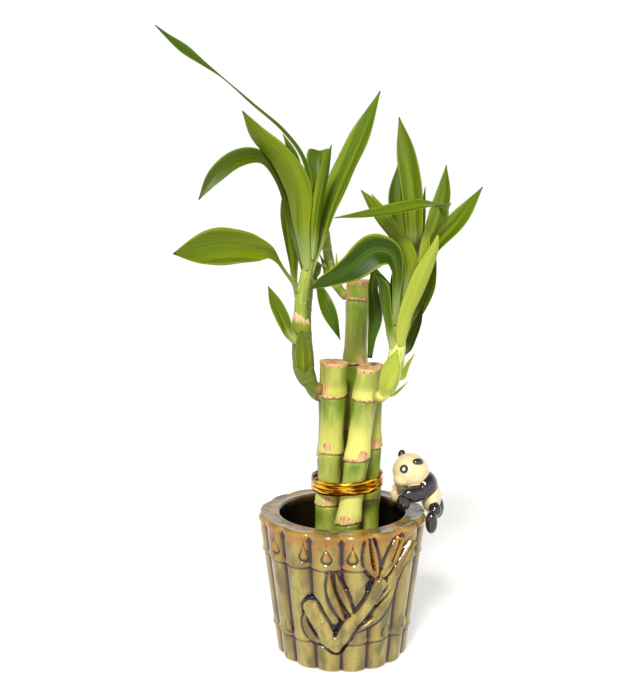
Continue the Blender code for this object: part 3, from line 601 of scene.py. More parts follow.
def cup_surface(settings):
    """Dead leaf sheath, dried papery: olive where it still clasps the stem, tan and ragged at its rim."""
    s = Surface("dry_sheath", Roughness=0.7, IOR=1.45)
    grain = s.noise(s.triple(s.mark("around_mm"), s.math("MULTIPLY", s.mark("height_mm"), 0.15)), 1.6, 3.0)
    edge = s.fade(s.math("ADD", s.mark("dry"), grain), 1.0, 1.4)
    return s.finish(s.blend(edge, settings.old_light, settings.dry), None, grain, 0.0002, 0.6)


def foil_surface(settings):
    """Gold foil on wire, pressed and crumpled: mirror-like metal with dark reflections painted on its facets
    as darker gold and brown, and painted shade in the valleys between its ridges.
    """
    s = Surface("gold_foil", Metallic=1.0, Roughness=0.2)
    # The facets are a few millimetres long round the band, and much lower than they are long.
    place = s.stretched(0.7, 0.7, 4.0)
    crease = s.noise(place, 260.0, 3.0, Distortion=0.6)
    # Painted reflection: this pattern turns the gold darker and then brown in patches, standing for dark
    # surroundings mirrored in the foil.
    reflection_pattern = s.noise(place, 150.0, 1.5, Distortion=0.3)
    # Painted shade: the valleys between the pressed ridges push the gold further towards brown.
    tone = s.math("ADD", reflection_pattern, s.math("MULTIPLY", s.mark("valley_shade"), 0.16))
    colour = s.blend(s.fade(tone, 0.46, 0.59), settings.gold, settings.painted_reflection_gold)
    colour = s.blend(s.fade(tone, 0.57, 0.68), colour, settings.painted_reflection_shadow)
    return s.finish(colour, None, crease, 0.00018, 0.45)


def glaze_surface(settings):
    """Stoneware, press-moulded, olive glaze: it breaks amber on edges, pools dark in hollows, and has
    red-brown painted shade down the culms' rounded sides.
    """
    s = Surface("olive_glaze", Roughness=0.12, IOR=1.5, Coat_Weight=0.3, Coat_Roughness=0.04)
    # Patches about 12 mm across where the glaze ran thicker, and mottling a millimetre or two across that is
    # drawn out about three times along the height, because the glaze ran down as it melted.
    patch = s.noise(s.stretched(1.0, 1.0, 0.5), 110.0, 3.0)
    mottle = s.noise(s.stretched(1.0, 1.0, 0.35), 420.0, 4.0, Roughness=0.65)
    uneven = s.math("SUBTRACT", mottle, 0.5)
    olive = s.blend(s.fade(patch, 0.4, 0.6), settings.olive, settings.olive_light)
    olive = s.blend(s.fade(mottle, 0.45, 0.75, 0.0, 0.25), olive, settings.amber)
    # Painted shade: red-brown shade down each culm's rounded sides, broken up unevenly by the glaze patches.
    side_shade_share = s.math("ADD", s.math("MULTIPLY", patch, 1.6), s.mark("side"))
    olive = s.blend(s.fade(side_shade_share, 0.95, 1.75, 0.0, 0.85), olive, settings.culm_side_shade)
    amber = s.math("ADD", s.mark("edge"), uneven)
    colour = s.blend(s.fade(amber, 0.2, 1.0, 0.0, 0.75), olive, settings.amber)
    colour = s.blend(s.fade(s.math("ADD", s.mark("pool"), uneven), 0.2, 0.95), colour, settings.seam)
    colour = s.blend(s.fade(s.mark("deep"), 0.25, 0.8), colour, settings.deep_pool)
    top = s.blend(s.fade(mottle, 0.4, 0.62), settings.rim_grey, olive)
    top = s.blend(s.fade(patch, 0.48, 0.62, 0.0, 0.7), top, settings.amber)
    colour = s.blend(s.mark("rim"), colour, top)
    colour = s.blend(s.mark("bore"), colour, settings.bore)
    foot = s.mark("foot")
    colour = s.blend(foot, colour, settings.clay)
    return s.finish(colour, s.fade(foot, 0.0, 1.0, 0.12, 0.8), mottle, 0.00025, 0.25)


def panda_surface(settings):
    """Stoneware figure, painted and clear glazed: cream body, black-brown limbs, wet gloss."""
    s = Surface("painted_glaze", Roughness=0.14, IOR=1.52, Coat_Weight=0.5, Coat_Roughness=0.05)
    mottle = s.noise(s.node("TexCoord", "Object"), 500.0, 4.0, Roughness=0.65)
    cream = s.blend(s.fade(mottle, 0.4, 0.7), settings.cream, settings.cream_shade)
    dark = s.blend(s.fade(mottle, 0.55, 0.75), settings.black, settings.brown)
    colour = s.blend(s.mark("black"), cream, dark)
    colour = s.blend(s.mark("white"), colour, settings.eye)
    return s.finish(colour, None, mottle, 0.0003, 0.35)


# ---------------------------------------------------------------- pieces


def build_leaf(name, row, surface, thickness):
    """A blade with a rounded fold at its midrib, a keel, fine margins and a base that wraps its stem."""
    spine, base_up, tip_up, base_fold, tip_fold, stem, kind = row
    random = np.random.default_rng(name_seed(name, 3))
    rows = smooth(spine, LEAF_ROWS)
    t = np.linspace(0.0, 1.0, LEAF_ROWS)[:, None]
    rows[:, :3] += toward_stem(rows[0, :3]) * (1 - step(t, 0.0, 0.22))
    length = np.linalg.norm(np.diff(rows[:, :3], axis=0), axis=1).sum()
    tangent = unit(np.gradient(rows[:, :3], axis=0))
    wanted = unit(np.array(base_up, dtype=float)) * (1 - t) + unit(np.array(tip_up, dtype=float)) * t
    across = unit(np.cross(tangent, wanted))
    upward = np.cross(across, tangent)
    half = np.maximum(rows[:, 3:4], 0.3) / 2 * (0.3 + 0.7 * step(t, -0.02, 0.07))
    # The section is drawn by its slope: a fold at the midrib and, near the foot, a curl round the stem.
    u = np.linspace(-1.0, 1.0, LEAF_COLUMNS + 1)[None, :]
    fold = np.radians(base_fold * (1 - t) + tip_fold * t)
    grip = 1 - step(t, 0.0, 0.28)
    curl = np.minimum(half / stem, 1.3) * grip + 0.12 * (1 - grip)
    slope = fold * (1 - 0.8 * grip) * np.tanh(u / 0.22) + curl * u
    x, y = [from_middle(part) * half for part in (np.cos(slope), np.sin(slope))]
    waves = length / random.uniform(26, 38)
    for side in (-1, 1):
        wave = np.sin(2 * math.pi * waves * t + random.uniform(0, 2 * math.pi))
        y = y + 0.05 * half * step(t, 0.1, 0.4) * wave * np.clip(side * u, 0, 1) ** 2
    middle = rows[:, None, :3] + x[..., None] * across[:, None] + y[..., None] * upward[:, None]
    normal = np.cos(slope)[..., None] * upward[:, None] - np.sin(slope)[..., None] * across[:, None]
    thin = thickness / MM / 2 * (1 - 0.75 * np.abs(u) ** 3) * (0.35 + 0.65 * step(half, 0.2, 2.5))
    keel = 0.45 * bump(u * half, 0.0, 0.35) * (1 - 0.8 * t)
    top = middle + normal * thin[..., None]
    under = middle - normal * (thin + keel)[..., None]
    wide = np.concatenate([u, u[:, -2:0:-1]], axis=1)
    attributes = {
        "across": wide,
        "across_mm": wide * half,
        "along": t,
        "tint": random.uniform(0.0, 1.0),
        # share of painted shade that darkens this leaf
        "painted_shade": LEAF_PAINTED_SHADE.get(name, 0.0),
    }
    points = np.concatenate([top, under[:, -2:0:-1]], axis=1)
    return add_piece(name + "_blade", points, attributes, name, surface)


def build_stalk(name, foot, top, nodes, surface, radius):
    """A cut cane: raised, ragged rings at its nodes, dry scars, and a flat cut face with a sunken pith."""
    seed = name_seed(name, 1)
    random = np.random.default_rng(seed)
    angle = circle(STALK_SIDES)[None, :]
    end = top[2] - 0.6
    levels = set(np.arange(STALK_FOOT, end, 1.2).tolist())
    for level in nodes:
        levels |= set(np.arange(level - 3.0, level + 3.0, 0.25).tolist())
    z = np.array(sorted(v for v in levels if STALK_FOOT <= v <= end))[:, None]
    ring, below, scar = [np.zeros((len(z), STALK_SIDES)) for _ in range(3)]
    reach = radius / MM + ring
    for k, level in enumerate(nodes):
        slant = math.copysign(0.45, random.uniform(-1, 1)) * np.cos(angle - random.uniform(0, 6))
        away = z - level - 0.55 * ripple(angle, seed + k, 3) - slant
        ragged = 0.7 + 0.3 * ripple(angle, seed + 40 + k, 9)
        # Swollen above the ring, a groove under it, the ragged ring itself, and a slighter swelling below.
        reach = reach + 0.85 * step(away, -0.3, 0.7) * (1 - step(away, 1.6, 11.0))
        reach = reach - 0.3 * bump(away, -0.75, 0.45) + 0.5 * ragged * bump(away, 0.3, 0.6)
        reach = reach + 0.4 * step(away, -11.0, -1.6) * (1 - step(away, -1.4, -0.5))
        ring = np.maximum(ring, bump(away, 0.5, 1.15 * ragged) * 1.15)
        below = np.maximum(below, step(away, -21.0, -4.0) * (1 - step(away, -0.6, 0.1)))
    below = np.maximum(below, 0.6 * step(z, nodes[-1] + 3.0, nodes[-1] + 8.0))
    # Painted shade: the top of the tall stalk, shaded by the leaves over it, is painted the darker under-node
    # green.
    if name == "stalk_tall":
        below = np.maximum(below, 0.8 * step(z, 152.0, 176.0))
    for height, degrees, tall, wide in SCARS[name]:
        turn = centred(angle - math.radians(degrees)) / math.radians(wide)
        shape = np.hypot((z - height) / tall, turn)
        inside = 1 - step(shape, 0.75, 1.1)
        scar = np.maximum(scar, inside)
        reach = reach + 0.25 * bump(shape, 1.0, 0.25) - 0.12 * inside
    lip = z - top[2] + 0.5 * ripple(angle, seed + 70, 5)
    scar = np.maximum(scar, step(lip, -2.6, -1.7))
    reach = reach * (1 + 0.012 * ripple(angle, seed + 90, 3)) + 0.35 * step(lip, -2.4, -0.8)
    share = (z - STALK_FOOT) / (top[2] - STALK_FOOT)
    centre = [foot[k] + (top[k] - foot[k]) * share for k in (0, 1)]
    rows = [grid(centre[0] + reach * np.cos(angle), centre[1] + reach * np.sin(angle), z)]
    tilt = 0.25 * np.cos(angle - random.uniform(0, 6))
    for size, rise in CUT_FACE_RINGS:
        edge = reach[-1:] * size
        rough = 0.10 * ripple(angle, seed + int(size * 100), 7) * (size > 0.3)
        face = top[2] + rise + rough + tilt * size
        rows.append(grid(top[0] + edge * np.cos(angle), top[1] + edge * np.sin(angle), face))
    points = np.concatenate(rows)
    extra = np.zeros((len(CUT_FACE_RINGS), STALK_SIDES))
    cut = np.concatenate([0 * ring, extra + 1.0])
    cut[len(z)] = 0.3
    attributes = {
        "ring": np.concatenate([ring, extra]),
        "node_green_and_shade": np.concatenate([below, extra]),
        "scar": np.concatenate([scar, extra]),
        "cut": cut,
        "around_mm": angle * radius / MM,
        "height_mm": points[..., 2],
        "seed": seed % 97,
        "pale": STALK_PALENESS.get(name, 0.0),
    }
    return add_piece(name + "_cane", points, attributes, name, surface)


def build_shoot(name, line, surface):
    """A young stem with a swollen foot and a thin raised ring where each fallen leaf was held."""
    seed = name_seed(name, 2)
    angle = circle(SHOOT_SIDES)[None, :]
    rows = smooth(line, SHOOT_ROWS)
    height = rows[:, 2:3]
    tangent = unit(np.gradient(rows[:, :3], axis=0))
    gone = np.cumsum(np.linalg.norm(np.diff(rows[:, :3], axis=0), axis=1))
    gone = np.concatenate([[0.0], gone])[:, None]
    phase = (gone + 0.8 * ripple(angle, seed, 3)) % LEAF_RING_GAP
    mark = bump(phase, 3.5, 0.35)
    swell = 0.13 * (name == "shoot_front_left") * bump(height, 168.0, 12.0)
    radius = rows[:, 3:4] * (1 + swell + 0.02 * ripple(angle, seed + 5, 3))
    radius = radius + 0.18 * mark + 0.12 * bump(phase, 4.4, 0.8)
    radius = radius * (1 - 0.35 * (1 - step(gone, 0.0, 1.2)))
    side = unit(np.cross(tangent[0], (0.0, 1.0, 0.0)))
    sides = []
    for ahead in tangent:
        side = unit(side - ahead * side.dot(ahead))
        sides.append(side)
    sides = np.array(sides)
    others = np.cross(tangent, sides)
    outward = np.cos(angle)[..., None] * sides[:, None] + np.sin(angle)[..., None] * others[:, None]
    attributes = {
        "ring": mark * (0.175 if "front" in name else 0.7),
        "old": (name == "shoot_front_left") * (1 - step(height, 180.0, 190.0)),
        "pale": (name == "shoot_front_right") * (1 - step(height, 192.0, 205.0)),
        "husk": 0.7 * (1 - step(gone + 0.9 * ripple(angle, seed + 3, 5), 2.5, 5.0)),
        "along": np.linspace(0, 1, SHOOT_ROWS)[:, None],
        "along_mm": gone,
        "around_mm": angle * 4.0,
    }
    points = rows[:, None, :3] + radius[..., None] * outward
    return add_piece(name + "_stem", points, attributes, name, surface)


def build_cup(settings, surface):
    """The dry torn cup round the left shoot, left where its old sheath opened."""
    angle = circle(STALK_SIDES)[None, :]
    t = np.linspace(0.0, 1.0, CUP_ROWS)[:, None]
    line = smooth(SHOOTS["shoot_front_left"], 120)
    torn = 4.0 * ripple(angle, 12, 6) + 1.2 * ripple(3 * angle, 5, 5)
    tall = 8.5 + torn + 4.5 * np.cos(angle - math.radians(200))
    height = settings.cup_foot / MM + t * tall
    centre = [np.interp(height, line[:, 2], line[:, k]) for k in range(4)]
    reach = centre[3] + 0.25 + 0.9 * np.sin(math.pi * t) + 0.4 * t * ripple(angle, 31, 5)
    outer = grid(centre[0] + reach * np.cos(angle), centre[1] + reach * np.sin(angle), height)
    inner = outer - settings.cup_thickness / MM * grid(np.cos(angle), np.sin(angle), 0.0)
    points = np.concatenate([outer, inner[::-1]])
    attributes = {
        "dry": np.concatenate([t, t[::-1]]),
        "around_mm": 4.5 * angle,
        "height_mm": points[..., 2],
    }
    node = "left_sheath_side"
    return add_piece(node + "_cup", points, attributes, node, surface, closed=True)


def build_tie(settings):
    """The foil band: a flat strip with three pressed ridges, wound as a tilted oval round the five stalks."""
    angle = circle(TIE_SIDES)[:, None]
    front = np.linspace(-1.0, 1.0, 26)[None, :]
    ridges = bump(front, -0.64, 0.27) + bump(front, 0.02, 0.27) + bump(front, 0.67, 0.25)
    crumple = 1 + 0.06 * np.sin(23 * angle + 3 * front) * np.cos(9 * angle)
    flat = np.zeros((TIE_SIDES, 2))
    depth = np.concatenate([(0.5 * ridges + 0.1) * crumple + 0.25, flat], axis=1)
    edge = 0.22 * np.sin(5 * angle) + 0.14 * np.sin(13 * angle + 1.0)
    height = (settings.width / MM / 2 + edge) * np.concatenate([front, [[1.0, -1.0]]], axis=1)
    x = (settings.across / MM / 2 + depth) * np.cos(angle)
    y = (settings.deep / MM / 2 + depth) * np.sin(angle)
    points = grid(x, y, TIE_TILT[0] * x + TIE_TILT[1] * y + height) + np.array(TIE_CENTRE)
    # Painted shade: how deep in a valley between the ridges each point lies, used only to darken the gold
    # there.
    valley_shade = 1 - np.clip(np.concatenate([ridges, flat[:1]], axis=1), 0, 1)
    return add_piece("gold_tie_foil", points, {"valley_shade": valley_shade}, "gold_tie",
                     foil_surface(settings), closed=True)


def wall_radius(settings, z):
    """The pot's outer radius at a height, in millimetres, at the top of a culm."""
    widening = (settings.rim_radius - settings.base_radius) / settings.height
    return settings.base_radius / MM + widening * z


def distance_to_line(s, z, line):
    """Distance from each point to a line of (s, z, width) rows, and the line's width there."""
    best = np.full(s.shape, 1e9)
    width = np.zeros(s.shape)
    for a, b in zip(line[:-1], line[1:]):
        run = b[:2] - a[:2]
        t = np.clip(((s - a[0]) * run[0] + (z - a[1]) * run[1]) / max(run @ run, 1e-9), 0.0, 1.0)
        away = np.hypot(s - a[0] - t * run[0], z - a[1] - t * run[1])
        near = away < best
        best = np.where(near, away, best)
        width = np.where(near, a[2] + (b[2] - a[2]) * t, width)
    return best, width


def culm_relief(settings, angle, z):
    """Height of the moulded culms and their buds over the plain cone, and how near the side of a culm is."""
    turn = angle / (2 * math.pi) * settings.culms + CULM_SHIFT
    index = np.floor(turn).astype(int) % settings.culms
    phase = 2 * (turn - np.floor(turn)) - 1
    height = -2.6 * (1 - np.sqrt(np.clip(1 - phase**2, 0.0, 1.0))) ** 0.85
    shift = np.random.default_rng(7).uniform(-1.0, 1.0, settings.culms)[index]
    lean = np.random.default_rng(8).uniform(-0.9, 0.9, settings.culms)[index]
    for base, order in ((17.4, 1.0), (60.6, 0.8)):
        away = z - base - order * shift - lean * phase + 0.9 * (1 - phase**2)
        height = height + 0.6 * bump(away, 1.0, 1.5) - 0.7 * bump(away, -0.7, 0.75)
        height = height - 0.1 * bump(away, -3.0, 2.4)
    for degrees, level in BUDS:
        aside = wall_radius(settings, z) * centred(angle - math.radians(degrees))
        above = z - level
        wide = 2.5 * np.clip(1 - (above + 1.2) / 6.4, 0.05, 1.0) ** 0.7
        drop = np.hypot(aside / wide, np.where(above < 0, above / 2.8, above / 5.6))
        height = height + 1.25 * (1 - step(drop, 0.3, 1.0)) - 0.75 * bump(drop, 1.2, 0.26)
    return height, phase**2


def branch_relief(settings, arc, z, height):
    """The moulded height with the branch and its leaves laid over it, and where the branch is."""
    ground = np.maximum(height, -1.4)
    limb = np.zeros_like(height)
    for kind, rise, line in RELIEF:
        rows = [(math.radians(d) * wall_radius(settings, v), v, 0.0, w) for d, v, w in line]
        away, width = distance_to_line(arc, z, smooth(rows, 18)[:, [0, 1, 3]])
        inside = np.clip(away / width, 0.0, 1.0)
        if kind == "limb":
            top = rise * np.sqrt(1 - inside**2) - 0.5
            limb = np.maximum(limb, 1 - step(away / width, 0.6, 1.0))
        else:
            top = rise * (1 - inside**2) ** 0.8 - 0.2 * bump(away, 0.0, 0.4) - 0.1
        trough = (0.8 if kind == "limb" else 0.55) * bump(away - width, 0.8, 1.1) * (away < width + 2)
        height = np.where(away < width, np.maximum(height, ground * 0.3 + top), height - trough)
    for degrees, level, slant in LIMB_RINGS:
        ds, dz = arc - math.radians(degrees) * wall_radius(settings, level), z - level
        c, s = math.cos(math.radians(slant)), math.sin(math.radians(slant))
        along, side = ds * c + dz * s, -ds * s + dz * c
        height = height + (0.55 * bump(along, 0.0, 0.7) - 0.4 * bump(along, 1.3, 0.45)) * (np.abs(side) < 3.8)
    return height, limb


def glaze_pools(settings, arc, z):
    """Where drops of dark glaze fill the hollows by the branch."""
    deep = np.zeros_like(arc)
    for degrees, level, size in GLAZE_POOLS:
        away = np.hypot(arc - math.radians(degrees) * wall_radius(settings, level), z - level)
        deep = np.maximum(deep, 1 - step(away, size * 0.45, size))
    return deep


def blur(values, sweeps):
    """Values drawn towards their neighbours round the pot and up it, again and again."""
    for _ in range(sweeps):
        values = (np.roll(values, 1, 1) + np.roll(values, -1, 1) + 2 * values) / 4
        padded = np.concatenate([values[:1], values, values[-1:]])
        values = (padded[2:] + padded[:-2] + 2 * padded[1:-1]) / 4
    return values


def pot_wall(settings, angle, z):
    """The moulded wall's radius at each point, with its shares of each kind of glaze and of the painted shade
    on the culms' sides.
    """
    tall = settings.height / MM
    flat_angle, flat_z = np.broadcast_arrays(angle, z)
    arc = wall_radius(settings, flat_z) * centred(flat_angle)
    relief, side = culm_relief(settings, flat_angle, flat_z)
    relief, limb = branch_relief(settings, arc, flat_z, relief)
    deep = glaze_pools(settings, arc, flat_z)
    relief = relief - 0.6 * deep
    deep = deep * step(-relief, 0.3, 1.3)
    relief = relief - 0.36 * bump(z, tall - 4.5, 2.0) + 0.5 * bump(z, tall - 1.5, 2.4)
    near = blur(relief, 6)
    ridge, hollow = relief - near, blur(near, 74) - relief
    scallop = np.abs(np.sin(math.pi * (angle / (2 * math.pi) * settings.culms + CULM_SHIFT))) ** 0.5
    band = step(z, tall - 8.0 + 1.6 * (1 - scallop), tall - 6.4 + 1.6 * (1 - scallop))
    shares = {
        "pool": np.clip(0.1 + hollow / 0.58, 0, 1),
        "edge": np.clip(ridge / 0.3, 0, 1) * 0.4 + 0.5 * band + 0.35 * step(z, 38, 74) * (1 - limb),
        "deep": deep,
        # Painted shade down each culm's rounded sides, less on the branch and on its ridges
        "side": side * (1 - limb) * (1 - 0.5 * step(ridge, 0.1, 0.4)),
    }
    return wall_radius(settings, z) + relief, shares


def build_pot(settings):
    """The pot as one closed skin: culms and branch outside, flat wavy rim, dark bore, and unglazed foot."""
    angle = circle(settings.steps_round)[None, :]
    tall, floor = settings.height / MM, settings.floor / MM
    inner, foot = settings.bore_radius / MM, settings.bore_foot_radius / MM
    z = np.linspace(1.2, tall - POT_RIM_ROUND, settings.steps_up)[:, None]
    wall, shares = pot_wall(settings, angle, z)
    low, rim = wall[:1], wall[-1:]
    rows = [(low * k, 0.0, {"foot": 1.0}) for k in (0.1, 0.5, 0.85)]
    rows += [(low - 0.9, 0.0, {"foot": 1.0}), (low - 0.35, 0.35, {"foot": 0.6}), (wall, z, shares)]
    # Outer round of the rim, its flat top, and the round that leads into the bore.
    for k in np.linspace(0.1, 1.0, 9):
        radius = rim - POT_RIM_ROUND * (1 - math.cos(math.pi / 2 * k))
        level = tall - POT_RIM_ROUND * (1 - math.sin(math.pi / 2 * k))
        rows.append((radius, level, {"edge": 0.9 - 0.3 * k, "rim": 0.4 * k}))
    shelf, lip = rim - POT_RIM_ROUND, inner + POT_LIP_ROUND
    for k in np.linspace(0.08, 1.0, 14):
        sag = -0.35 * math.sin(math.pi * k) + 0.05 * np.sin(16 * angle) * (1 - k)
        painted = {"edge": 0.5 * (k > 0.9), "rim": 0.4 + 0.6 * min(1, k * 4)}
        rows.append((shelf + (lip - shelf) * k, tall + sag, painted))
    for k in np.linspace(0.15, 1.0, 6):
        radius = lip - POT_LIP_ROUND * math.sin(math.pi / 2 * k)
        level = tall - POT_LIP_ROUND * (1 - math.cos(math.pi / 2 * k))
        rows.append((radius, level, {"edge": 0.4, "rim": 1 - k, "bore": 0.8 * k}))
    # The bore narrows to the floor, with a 3 mm round at its foot.
    bore = [(inner + (foot - inner) * k, tall - POT_LIP_ROUND + (floor + 3.0 - tall + POT_LIP_ROUND) * k)
            for k in np.linspace(0.04, 1.0, 24)]
    bore += [(foot - 1.2 * k, floor + 3.0 * (1 - k)) for k in (0.4, 0.8, 1.0)]
    bore += [((foot - 1.2) * k, floor) for k in (0.7, 0.4, 0.1)]
    rows += [(radius, level, {"bore": 1.0}) for radius, level in bore]
    spans = [(len(np.atleast_2d(radius)), angle.size) for radius, _, _ in rows]

    def joined(column):
        return np.concatenate([np.broadcast_to(values, span) for values, span in zip(column, spans)])

    radius, level = [joined([row[k] for row in rows]) for k in (0, 1)]
    labels = ("pool", "edge", "deep", "rim", "bore", "foot", "side")
    attributes = {label: joined([row[2].get(label, 0.0) for row in rows]) for label in labels}
    points = grid(radius * np.sin(angle), -radius * np.cos(angle), level)
    return add_piece("pot_glazed", points, attributes, "pot", glaze_surface(settings))


def melted_masses(settings):
    """The panda's rounded masses melted into one skin, as points in millimetres and faces."""
    body = bmesh.new()
    for centre, radii, turn, _ in PANDA_MASSES:
        place = Matrix.Translation(Vector(centre) * MM) @ Matrix.Rotation(math.radians(turn), 4, "Z")
        place = place @ Matrix.Diagonal((*[r * MM for r in radii], 1.0))
        bmesh.ops.create_icosphere(body, subdivisions=4, radius=1.0, matrix=place)
    rough = bpy.data.meshes.new("panda_rough")
    body.to_mesh(rough)
    body.free()
    lump = bpy.data.objects.new("panda_rough", rough)
    bpy.context.scene.collection.objects.link(lump)
    remesh = lump.modifiers.new("melt", "REMESH")
    remesh.mode = "VOXEL"
    remesh.voxel_size = settings.grain
    soften = lump.modifiers.new("soften", "SMOOTH")
    soften.factor = 0.5
    soften.iterations = 10
    skin = bpy.data.meshes.new_from_object(lump.evaluated_get(bpy.context.evaluated_depsgraph_get()))
    bpy.data.objects.remove(lump)
    points = np.empty(len(skin.vertices) * 3)
    skin.vertices.foreach_get("co", points)
    return points.reshape(-1, 3) / MM, [tuple(face.vertices) for face in skin.polygons]


def build_panda(settings):
    """The figure, painted by the mass that each point lies nearest, with an eye at each side of its face."""
    points, faces = melted_masses(settings)
    best = np.full(len(points), 1e9)
    black, white = np.zeros((2, len(points)))
    for centre, radii, turn, paint in PANDA_MASSES:
        c, s = math.cos(math.radians(turn)), math.sin(math.radians(turn))
        away = points - np.array(centre)
        local = grid(away[:, 0] * c + away[:, 1] * s, away[:, 1] * c - away[:, 0] * s, away[:, 2])
        depth = (np.linalg.norm(local / np.array(radii), axis=1) - 1) * min(radii)
        nearer = step(best - depth, -0.25, 0.25)
        black = black * (1 - nearer) + (paint == "black") * nearer
        best = np.minimum(best, depth)
    for eye, size in PANDA_EYES:
        gap = np.linalg.norm(points - np.array(eye), axis=1)
        black = np.maximum(black, 1 - step(gap, size, size + 0.45))
        white = np.maximum(white, 1 - step(gap, 0.35 * size, 0.35 * size + 0.3))
    attributes = {"black": black, "white": white}
    surface = panda_surface(settings)
    return add_piece("panda_figure", points, attributes, "panda", surface, faces)


# ---------------------------------------------------------------- stage


def lay_floor(settings):
    """Opal acrylic lit from below: white, with only a faint shadow."""
    mesh = bpy.data.meshes.new("floor")
    mesh.from_pydata([(-4, -4, 0), (4, -4, 0), (4, 4, 0), (-4, 4, 0)], [], [(0, 1, 2, 3)])
    floor = bpy.data.objects.new("floor", mesh)
    bpy.context.scene.collection.objects.link(floor)
    s = Surface("opal_acrylic", Roughness=0.75, Emission_Strength=settings.floor_glow,
                Base_Color=tuple(settings.floor), Emission_Color=(1.0, 0.99, 0.975, 1.0))
    mesh.materials.append(s.material)


def white_surround(settings):
    """A world that is white up to 15 degrees and dimmer overhead, so that gloss doesn't wash out."""
    world = bpy.data.worlds.new("white_surround")
    world.use_nodes = True
    tree = world.node_tree
    towards = add_node(tree, "SeparateXYZ", {"Vector": add_node(tree, "TexCoord").outputs["Generated"]})
    strength = add_node(tree, "MapRange", {
        "Value": towards.outputs["Z"], "From Min": 0.26, "From Max": 0.66,
        "To Min": settings.surround, "To Max": settings.overhead,
    })
    background = tree.nodes["Background"]
    background.inputs["Color"].default_value = (1.0, 1.0, 1.0, 1.0)
    tree.links.new(strength.outputs["Result"], background.inputs["Strength"])
    return world


def add_lights(settings):
    """A main light high in front and a faint wide one from the right."""
    lights = (
        ("key_light", (-0.14, -0.73, 0.66), settings.key_size, settings.key),
        ("fill_light", (0.8, -0.5, 0.35), settings.fill_size, settings.fill),
    )
    for name, direction, size, strength in lights:
        lamp = bpy.data.lights.new(name, "SUN")
        lamp.energy = strength
        lamp.angle = math.radians(size)
        light = bpy.data.objects.new(name, lamp)
        light.location = Vector(direction)
        light.rotation_euler = Vector(direction).to_track_quat("Z", "Y").to_euler()
        bpy.context.scene.collection.objects.link(light)


def add_camera(settings):
    """The camera in front of the plant, a little left of its middle, looking down."""
    lens = bpy.data.cameras.new("camera")
    lens.lens = settings.lens
    lens.sensor_width = 36.0
    camera = bpy.data.objects.new("camera", lens)
    camera.location = (-0.0125, -0.616, 0.274)
    camera.rotation_euler = (math.radians(90 - settings.tilt), 0.0, 0.0)
    bpy.context.scene.collection.objects.link(camera)
    return camera


# ---------------------------------------------------------------- settings


class BambooLeafSettings(bpy.types.PropertyGroup):
    thickness: length_property("Thickness", 0.00042, "Thickness of a blade beside its midrib")
    blade: colour_property("Blade", "#2e4a02", "Shaded green of a blade")
    light: colour_property("Light blade", "#8c9a10", "Lighter green between the veins")
    deep: colour_property("Deep blade", "#263c02", "Green of the oldest leaves")
    deep_light: colour_property("Deep blade, light", "#4c6408", "Lighter green of the oldest leaves")
    old: colour_property("Old sheath", "#4c5604", "Dark olive of the left shoot's old sheath")
    old_light: colour_property("Old sheath, light", "#727a0c", "Lighter olive of the left shoot's old sheath")
    sheath: colour_property("Sheath", "#7e8c24", "Green of the young clasping leaves")
    sheath_light: colour_property("Sheath, light", "#aab048", "Pale green of the young clasping leaves")
    pale: colour_property("Pale foot", "#b0c074", "Pale green at the foot of a leaf")
    # Painted shade: the dark green that shaded leaves are darkened towards
    painted_shade_green: colour_property("Aged blade", "#1c2a00", "Darkest green of an old blade")
    margin: colour_property("Margin", "#a2b024", "Yellow-green of the margins and the midrib")
    cup_foot: length_property("Cup foot", 0.182, "Height of the foot of the dry cup on the left shoot")
    cup_thickness: length_property("Cup thickness", 0.00028, "Thickness of the dry cup")
    dry: colour_property("Dry sheath", "#d8b088", "Tan rim of the dry cup")
    dry_tip: colour_property("Dry tip", "#3c3030", "Brown point at the end of a leaf")


class BambooStalkSettings(bpy.types.PropertyGroup):
    radius: length_property("Radius", 0.0063, "Radius of a cut stalk between its nodes")
    skin: colour_property("Skin", "#b0ab4c", "Yellow-green skin of a stalk")
    # Yellow-cream that the listed stalks' skin is blended towards
    skin_pale: colour_property("Skin, ripe", "#cfc96c", "Yellow-cream skin of the ripest stalk")
    skin_shade: colour_property("Skin, greener", "#8f9628", "Greener parts of the skin")
    green: colour_property("Under a node", "#5c7618", "Green that shows under a node")
    node_ring: colour_property("Node ring", "#965a34", "Dry brown of a node's ring")
    node_pale: colour_property("Node ring, pale", "#d8aa84", "Pale dry skin at a node")
    cut_face: colour_property("Cut face", "#d0a476", "Dried end of a cut stalk")
    fleck: colour_property("Fleck", "#8a5a28", "Small brown marks")
    stem: colour_property("Side shoot", "#6c8020", "Green of the side shoots")
    stem_light: colour_property("Side shoot, light", "#98a440", "Light green of the side shoots")
    stem_old: colour_property("Side shoot, old", "#56620a", "Dark olive of the left shoot's old sheath")
    stem_pale: colour_property("Side shoot, pale", "#c4cc6a", "Pale yellow-green of the right shoot's sheath")
    ring: colour_property("Leaf ring", "#c8b080", "Dry ring where a leaf was held")


class BambooTieSettings(bpy.types.PropertyGroup):
    across: length_property("Across", 0.0386, "Inner width of the oval, left to right")
    deep: length_property("Deep", 0.0496, "Inner width of the oval, front to back")
    width: length_property("Width", 0.0073, "Width of the foil strip")
    gold: colour_property("Gold", "#f2bc28", "Bright gold")
    # Painted reflections: the darker gold and brown that stand for dark surroundings mirrored in the foil
    painted_reflection_gold: colour_property("Deep gold", "#b47412", "Darker gold on facets that face away")
    painted_reflection_shadow: colour_property("Shadow gold", "#4a2a0a", "Brown of the deepest creases")


